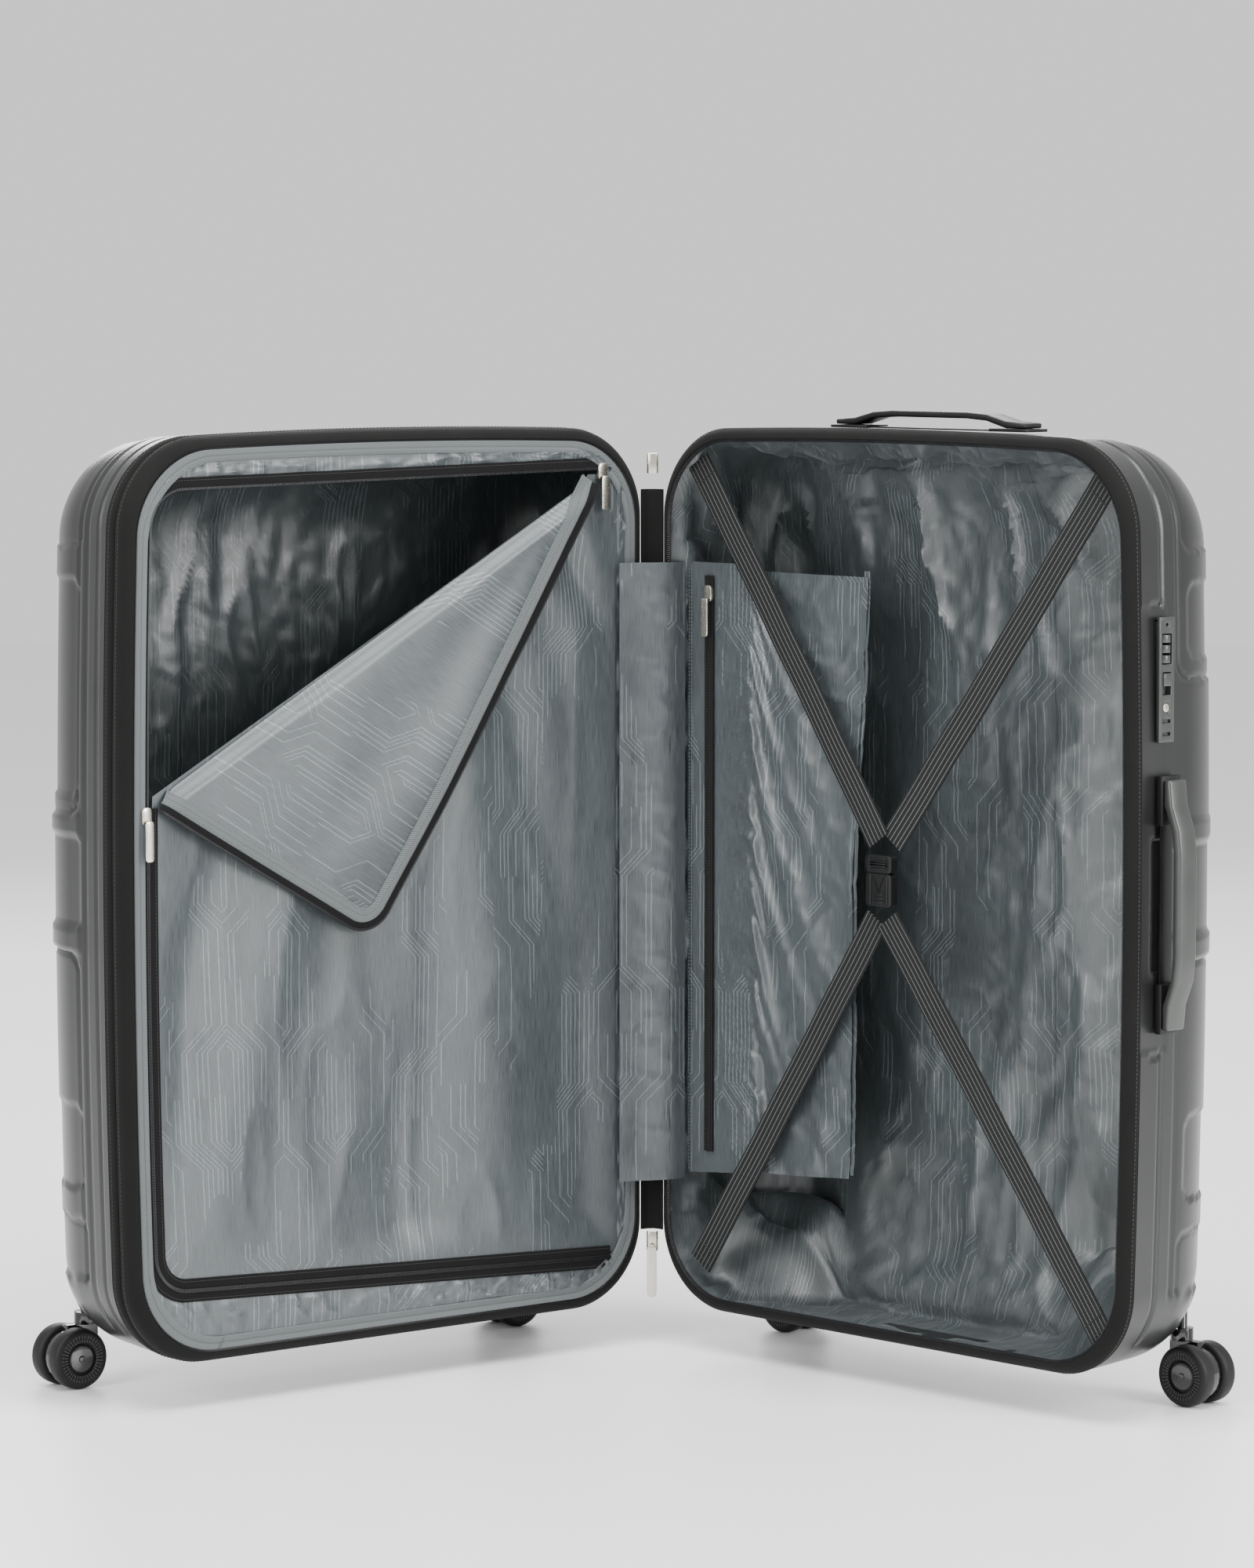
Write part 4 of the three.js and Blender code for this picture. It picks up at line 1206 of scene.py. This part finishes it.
def close_middle(shape, rings):
    """Joins the two sides of the innermost ring."""
    closing = middle_faces((len(rings) - 1) * rings.shape[1], rings.shape[1])
    shape.faces += closing
    shape.slots += [0] * len(closing)
    return shape


BACK_STEPS = [92 + 5 * k for k in range(31)]


def front_interior():
    """Lining of the front shell, seen through the open corner."""
    rings, flat = lining_grid(5.5, [-8, 0, 8, 16, 24, 32, 40, 48], 22, BACK_STEPS, (14, -25))
    inward = inward_of(rings)
    rise = smooth_step((rings[..., 1] + 25) / 30)
    bent = clear_of_casters(crumpled(rings, inward, rise, 21.0))
    shape = close_middle(Shape().grid(bent, flat, True), rings)
    # The darker lining copy here is painted shade inside the front shell.
    made = piece("front_interior_lining", FRONT, shape, LINING_PAINTED_SHADE, "front_case", "front_lining",
                 weld=False)
    return crumple(made, 1 - 0.9 * rise, 0.05, 5)


def back_interior():
    """Loose lining of the back shell, heaped at the top and standing out over the trolley's tubes."""
    rings, flat = lining_grid(5.0, [-6, 2, 10, 18, 26, 34, 42, 50], 30, BACK_STEPS, (10.5, -11.2))
    inward = inward_of(rings)
    rise = smooth_step((rings[..., 1] + 11) / 22)
    top_heap = 1 + 1.6 * smooth_step((rings[..., 2] - 560) / 150)
    bent = crumpled(rings, inward, rise * top_heap, 7.0)
    stand = trolley_front(bent[..., 0]) * smooth_step((bent[..., 1] - 60) / 60)
    bent[..., 1] -= stand
    bent = clear_of_casters(bent)
    shape = close_middle(Shape().grid(bent, flat, True), rings)
    # The darker, seamed lining copy here is painted shade inside the back shell.
    made = piece("back_interior_lining", BACK, shape, LINING_SEAMED_PAINTED_SHADE, "back_case",
                 "back_lining", weld=False)
    return crumple(made, 1 - 0.9 * rise, 0.06, 6)


FRONT_CLOTH = front_interior()
BACK_CLOTH = back_interior()


# ---- pocket page, spine and cross straps ----------------------------------------------------------

POCKET_DEPTH = 11.0
POCKET_CORNERS = np.array([(9.0, 110.0), (200.0, 128.0), (215.0, 628.0), (9.0, 629.0)])


def pocket_point(s, t):
    """(u, z) on the pocket page for s from the hinge side and t from the bottom, each 0 to 1."""
    a, b, c, d = POCKET_CORNERS
    low = a + (b - a) * s[..., None]
    high = d + (c - d) * s[..., None]
    return low + (high - low) * t[..., None]


def pocket_page():
    """Loose page with a zip tape down it, sewn along its hinge edge."""
    s, t = np.meshgrid(np.linspace(0, 1, 90), np.linspace(0, 1, 190))
    at = pocket_point(s, t)
    flat3 = np.column_stack([at[..., 0].ravel(), np.zeros(at[..., 0].size), at[..., 1].ravel()])
    cloud = fractal(flat3 * (1, 1, 0.4), 0.015, 2, 5.0).reshape(s.shape)
    crease = ridged(flat3 * (0.8, 1, 1.2), 0.017, 6.2).reshape(s.shape)
    loose = smooth_step((at[..., 0] - 45) / 60)
    depth = POCKET_DEPTH + 2.6 * cloud * (0.25 + loose) - 1.8 * crease * (0.2 + 0.8 * loose) + 0.5
    depth += 5 * loose * np.sin(np.pi * t * 2.3 + s) * 0.6
    depth = np.where(at[..., 0] < 50, np.clip(depth, POCKET_DEPTH - 0.5, POCKET_DEPTH + 3), depth)
    front = np.stack([at[..., 0], depth, at[..., 1]], -1)
    shape = Shape().grid(front, at)
    hem = np.array([[p + (0, 0.9, 0) for p in front[:, -1]], [p + (-7, 1.1, 0) for p in front[:, -1]]])
    shape.grid(hem, hem[..., [0, 2]])
    cloth = piece("pocket_page_cloth", BACK, shape, LINING, "pocket_panel",
                  "pocket_panel", weld=False)
    crumple(cloth, np.concatenate([(1 - 0.95 * loose).ravel(), np.ones(2 * len(front))]), 0.05, 5)

    trim = Shape()
    z = np.linspace(131, 618, 164)
    rows = []
    for u, rise in ((31.6, 0.2), (31.8, 0.9), (36, 1.0), (37.2, 1.0), (41.6, 0.9), (41.8, 0.2)):
        rows.append(np.column_stack([np.full(len(z), u), np.full(len(z), POCKET_DEPTH - 1.0 - rise), z]))
    across = np.array([0, 0, 4, 6, 10, 10])
    trim.grid(np.array(rows), np.stack(np.broadcast_arrays(z[None, :], across[:, None]), -1))
    line = np.column_stack([np.full(len(z), 36.7), np.full(len(z), POCKET_DEPTH - 2.3), z])
    trim.merge(beads(line, OPENING, 1.35, (0.85, 3.6, 1.0)), 1)
    for u in (33.2, 40.4):
        line = np.column_stack([np.full(len(z), u), np.full(len(z), POCKET_DEPTH - 2.0), z])
        trim.merge(beads(line, OPENING, 2.6, (1.8, 0.4, 0.3)), 2)
    for u in (12.5, 15.5):
        line = np.column_stack([np.full(30, u), np.full(30, POCKET_DEPTH - 0.8), np.linspace(114, 626, 30)])
        trim.merge(beads(line, OPENING, 3.0, (2.0, 0.45, 0.4)), 3)
    piece("pocket_zip_tape", BACK, trim, [TAPE, COIL, THREAD, GREY_THREAD], "pocket_panel",
          weld=False)
    return cloth


POCKET_CLOTH = pocket_page()


def strip_along(route, low, high, thick, waves, steps, rows):
    """Upright strip whose plan follows a smooth route, in the hinge line's frame."""
    route = np.array(route, float)
    t = np.linspace(0, 1, len(route))
    fine = np.linspace(0, 1, steps)
    plan = np.stack([np.interp(fine, t, route[:, k]) for k in range(2)], 1)
    for _ in range(12):
        plan[1:-1] = (plan[:-2] + 2 * plan[1:-1] + plan[2:]) / 4
    tangent, running = along_path(np.column_stack([plan, np.zeros(steps)]))
    normal = np.column_stack([-tangent[:, 1], tangent[:, 0]])
    z = np.linspace(low, high, rows)
    points = np.zeros((rows, steps, 3))
    points[..., :2] = plan
    points[..., 2] = z[:, None]
    wave = waves(np.broadcast_to(running, (rows, steps)), points[..., 2])
    points[..., :2] += normal * wave[..., None]
    flat = np.stack(np.broadcast_arrays(running[None, :], z[:, None]), -1)
    made = Shape().grid(points, flat)
    if thick:
        behind = points.copy()
        behind[..., :2] += normal * thick
        made.grid(behind[:, ::-1], flat[:, ::-1])
    return made


def spine():
    """Textile hinge between the two halves' bands."""
    quiet = lambda run, z: 0.15 * np.sin(run * 1.2) + 0 * z
    made = piece("zip_spine", SPINE, strip_along([(-9, -6.5), (-5, -2.5), (0, -1), (5, -2.5), (9, -6.5)],
                                                 62, 690, 1.0, quiet, 24, 120),
                 BAND, weld=False)
    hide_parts("hinge_spine")
    left, right = SPINE.world([(-9, -6.5, 300), (9, -6.5, 300)])
    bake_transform(made)


def spine_cover():
    """Lining strip that hides the hinge, sewn to both halves."""
    def waves(run, z):
        points = np.column_stack([run.ravel(), np.zeros(run.size), z.ravel()])
        loose = np.sin(np.pi * np.clip(run / 60, 0, 1))
        cloud = fractal(points * (1, 1, 1.3), 0.022, 3, 9.1).reshape(run.shape)
        crease = ridged(points * (0.7, 1, 1.5), 0.02, 3.3).reshape(run.shape)
        return -(1.4 * cloud + 1.1 * crease) * loose
    route = [(-26, -28), (-9, -18.5), (9, -15), (19.5, -9.5), (27.5, -1)]
    shape = strip_along(route, 106, 629, 0, waves, 40, 200)
    made = piece("spine_cover_cloth", SPINE, shape, LINING, weld=False)
    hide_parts("spine_cover")
    left, right = SPINE.world([(-22, -24, 300), (20, -8, 300)])
    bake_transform(made)
    return made


spine()
COVER_CLOTH = spine_cover()

STRAP_WIDTH = 25.0
STRAPS = {
    "upper_hinge": ((34, 714), (241, 410), -1.6),
    "upper_outer": ((480, 711), (254, 410), 0.1),
    "lower_hinge": ((36, 36), (238, 346), 0.1),
    "lower_outer": ((484, 32), (251, 346), -1.6),
}


def strap(name):
    """Flat elastic webbing with striped rows, sewn down at the rim."""
    start, end, near = STRAPS[name]
    a, b = np.array(start, float), np.array(end, float)
    length = np.linalg.norm(b - a)
    along = (b - a) / length
    across = np.array([-along[1], along[0]])
    t = np.linspace(0, 1, 90)
    centre = a + (b - a) * t[:, None]
    sag = 1.2 * np.sin(np.pi * t) + 0.3 * np.sin(t * 23)
    section = [(0, 1.15), (0, 0.25), (0.35, 0), (4, -0.05), (12.5, -0.1),
               (21, -0.05), (24.65, 0), (25, 0.25),
               (25, 1.15), (24.6, 1.3), (12.5, 1.3), (0.4, 1.3)]
    rows, flats = [], []
    for y, rise in section:
        points = centre + across * (y - STRAP_WIDTH / 2)
        rows.append(lifted(points, near + rise + sag))
        flats.append(np.column_stack([t * length, np.full(len(t), y)]))
    rows.append(rows[0])
    flats.append(flats[0])
    shape = Shape().grid(np.array(rows), np.array(flats))
    for offset in (6, 17):
        points = a + along * offset + across * np.linspace(-11, 11, 12)[:, None]
        shape.merge(beads(lifted(points, near - 0.1), OPENING, 2.2, (1.6, 0.5, 0.5)), 1)
    made = piece(f"webbing_{name}", BACK, shape, [WEBBING, THREAD], weld=False)
    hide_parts(f"strap_{name}")
    if name.startswith("upper"):
        first, last = BACK.world([(a[0], near, a[1]), (b[0], near, b[1])])
        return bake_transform(made)
    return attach(made, "back_case")


for strap_name in STRAPS:
    strap(strap_name)


# ---- what each cloth was cut from -----------------------------------------------------------------

def cut(made, width, length, held, rests_on, with_pieces=(), area=None):
    """Turns a cloth's flat cut size, in millimetres, and its area, in square millimetres, into metres, and
    keeps nothing.
    """
    width * MM
    length * MM
    None if area is None else area * MM * MM


LINING_CUT = (SHELL_WIDTH + 2 * SHELL_DEPTH, SHELL_HEIGHT + 2 * SHELL_DEPTH)
LINING_AREA = 0.8 * LINING_CUT[0] * LINING_CUT[1]
cut(BACK_CLOTH, *LINING_CUT, "stretched", ["back_zip_band", "moulded_shell_back"], area=LINING_AREA)
cut(FRONT_CLOTH, *LINING_CUT, "stretched", ["expander_zip_band", "moulded_shell_front"], area=LINING_AREA)
FLAP_LENGTH = float(np.linalg.norm(FOLD_B - FOLD_A))
cut(PAGE_CLOTH, PAGE_EDGE - 27, 650, "stretched", ["divider_margin"], ["page_zip_side", "page_zip_top"],
    area=0.82 * (PAGE_EDGE - 27) * 650)
cut(CORNER_CLOTH, FLAP_LENGTH, 215, "folded", ["divider_page_cloth"], ["corner_trim"],
    area=0.55 * FLAP_LENGTH * 215)
cut(MARGIN, 16, 2200, "stretched", ["expander_zip_band"], ["divider_zip_outer"])
cut(POCKET_CLOTH, 208, 519, "hung", ["spine_cover_cloth"], ["pocket_zip_tape"])
cut(COVER_CLOTH, 64, 523, "stretched", ["zip_spine"])


# ---- hard parts -----------------------------------------------------------------------------------

def dressed(names, material, bevel=0.5, angle=28):
    """Finished copies of CAD nodes in one material."""
    for name in names:
        refined(frame["nodes"][name], f"{name}_finish", material, bevel, angle)


dressed(["lock_case"], GREY_PLASTIC, 0.35)
dressed(["side_handle_mount", "top_handle_mount", "buckle_socket", "buckle_plug"], PLASTIC,
        0.35)
dressed(["trolley_cup"], PLASTIC, 0.8)
dressed(["side_handle_grip"], GREY_PLASTIC, 1.6, 20)
dressed(["top_handle_grip", "trolley_grip"], PLASTIC, 1.2, 20)
dressed(["trolley_button", "lock_release_button"], GREY_PLASTIC, 0.5)
dressed(["main_slider_top", "main_slider_bottom", "main_zip_puller",
         "divider_slider_top", "divider_slider_side",
         "divider_puller_top", "divider_puller_side", "pocket_zip_slider", "pocket_zip_puller",
         "lock_key_cylinder"], NICKEL, 0.45)

TICKS = 40
WHEEL_DOWN = -12


def wheel(half, corner, place):
    """Tyre with round shoulders, gloss hub cap and a ring of moulded ticks."""
    centre = (CASTERS[corner] + WHEEL_SHIFT[half.name, corner],
              CASTER_DEPTH + (-13 if place == "near" else 13),
              WHEEL_DOWN)
    side = [(3.3, -6.3), (11.2, -6.3), (12.2, -5.7), (12.4, -5.0), (13.6, -5.0), (13.8, -6.5), (14.4, -7.0),
            (19.6, -7.3), (21.2, -7.5), (23.4, -6.7), (24.6, -5.0), (25, -2.4)]
    profile = side + [(radius, -along) for radius, along in reversed(side)]
    shape = turned(profile, centre, 1, 72, slot=0)
    for face in (-1, 1):
        for k in range(TICKS):
            a = 2 * math.pi * k / TICKS
            path = np.array([(centre[0] + r * math.cos(a), centre[1] + face * 7.15,
                              centre[2] + r * math.sin(a))
                             for r in (15.0, 18.4)])
            shape.merge(beads(path, (0, face, 0), 3.4, (2.9, 1.0, 0.5)), 1)
        cap = turned([(0.5, face * 6.9), (8, face * 6.75), (10.6, face * 6.3), (11, face * 5.6),
                      (0.5, face * 5.6)],
                     centre, 1, 48)
        shape.merge(cap, 2)
    node = f"wheel_{half.name}_{corner}_{place}"
    return piece(f"{node}_finish", half, shape, [TYRE, TICK, GLOSS],
                 frame["nodes"][node]["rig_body"], node)


def wheel_shift(half, corner):
    """Which side of its column a caster's axle trails on, read from the CAD wheel."""
    node = frame["nodes"][f"wheel_{half.name}_{corner}_near"]
    box = np.array([node.matrix_world @ Vector(c) for c in node.bound_box]).mean(0)
    local = (box - half.origin) / MM @ half.axes.T
    return round(float(local[0]) - CASTERS[corner])


TICK = moulded_paint("moulded_tick", (0.02, 0.02, 0.021), (0.035, 0.035, 0.037), 0.4)
WHEEL_SHIFT = {(half.name, corner): wheel_shift(half, corner)
               for half in (BACK, FRONT) for corner in CASTERS}
for half in (BACK, FRONT):
    for corner in CASTERS:
        fork = f"caster_fork_{half.name}_{corner}"
        dressed([fork], GLOSS, 0.5)
        for place in ("near", "far"):
            wheel(half, corner, place)


def tubes():
    """Anodised trolley tubes."""
    for name in [n for n in frame["nodes"] if n.startswith("trolley_") and "tube" in n]:
        refined(frame["nodes"][name], f"{name}_finish", ALUMINIUM, 0.4)


tubes()


# ---- buckle and lock details ----------------------------------------------------------------------

def buckle_ribs():
    """Ribbed ladder of the plug, and the moulded ridges over the socket's tongue."""
    plug = Shape()
    for k in range(5):
        z = 387.4 + 2.1 * k
        plug.merge(soft_box((237.5, -7.9, z), (254.5, -6.6, z + 1.1), 0.3))
    piece("buckle_plug_ribs", BACK, plug, PLASTIC, "buckle_plug")
    socket = Shape()
    for x in (235.2, 253.6):
        socket.merge(soft_box((x, -7.8, 358.5), (x + 3.2, -6.6, 383.5), 0.5))
    for k in range(3):
        socket.merge(soft_box((240.5, -7.7, 360 + 3.2 * k), (251.5, -6.6, 361.6 + 3.2 * k), 0.3))
    for sign in (-1, 1):
        path = np.array([(246 + sign * 1.0, -7.2, 370), (246 + sign * 2.0, -7.2, 374),
                         (246 + sign * 5.4, -7.2, 381)])
        socket.merge(beads(path, OPENING, 1.6, (1.9, 1.3, 1.0)))
    piece("buckle_socket_ribs", BACK, socket, PLASTIC, "back_case")


buckle_ribs()


dressed([f"lock_dial_{count}" for count in (1, 2, 3)], GREY_PLASTIC, 0.3)


# ---- floor, light and camera ----------------------------------------------------------------------

def studio():
    floor_paint = Paint("pale_floor", roughness=0.3, Specular_IOR_Level=0.35)
    floor_paint.solid()
    floor_paint.colour(floor_paint.noise(400, 2), (0.9, 0.9, 0.9), (0.94, 0.94, 0.94))
    reach = 9.0
    floor = bpy.data.meshes.new("floor")
    floor.from_pydata([(-reach, -reach, 0), (reach, -reach, 0), (reach, reach, 0), (-reach, reach, 0)], [],
                      [(0, 1, 2, 3)])
    floor.materials.append(floor_paint.material)
    ground = bpy.data.objects.new("floor", floor)
    bpy.context.scene.collection.objects.link(ground)

    world = bpy.data.worlds.new("studio")
    world.use_nodes = True
    background = world.node_tree.nodes["Background"]
    background.inputs["Color"].default_value = (1, 1, 1, 1)
    background.inputs["Strength"].default_value = 1.0
    bpy.context.scene.world = world

    lights = {
        "overhead": ((0.1, -0.9, 3.0), (0, 0, 0.45), (2.6, 1.6), 150),
        "front_left": ((-2.6, -3.0, 1.9), (0, 0, 0.4), (1.4, 2.2), 105),
        "right_side": ((2.9, -1.7, 1.7), (0.3, 0, 0.4), (1.1, 2.4), 130),
        "behind": ((-0.6, 3.0, 2.1), (0, 0, 0.4), (2.2, 1.6), 80),
    }
    for name, (place, target, size, power) in lights.items():
        lamp = bpy.data.lights.new(name, "AREA")
        lamp.shape = "RECTANGLE"
        lamp.size, lamp.size_y = size
        lamp.energy = power
        made = bpy.data.objects.new(name, lamp)
        made.location = place
        made.rotation_mode = "QUATERNION"
        made.rotation_quaternion = (Vector(target) - Vector(place)).to_track_quat("-Z", "Y")
        bpy.context.scene.collection.objects.link(made)


def camera():
    lens = bpy.data.cameras.new("photograph")
    lens.sensor_width = 36
    lens.lens = 129.0
    made = bpy.data.objects.new("photograph", lens)
    made.location = (0.297, -4.594, 0.9133)
    made.rotation_euler = (math.radians(90 - 5.268), 0, math.radians(3.8))
    bpy.context.scene.collection.objects.link(made)
    bpy.context.scene.camera = made


studio()
camera()
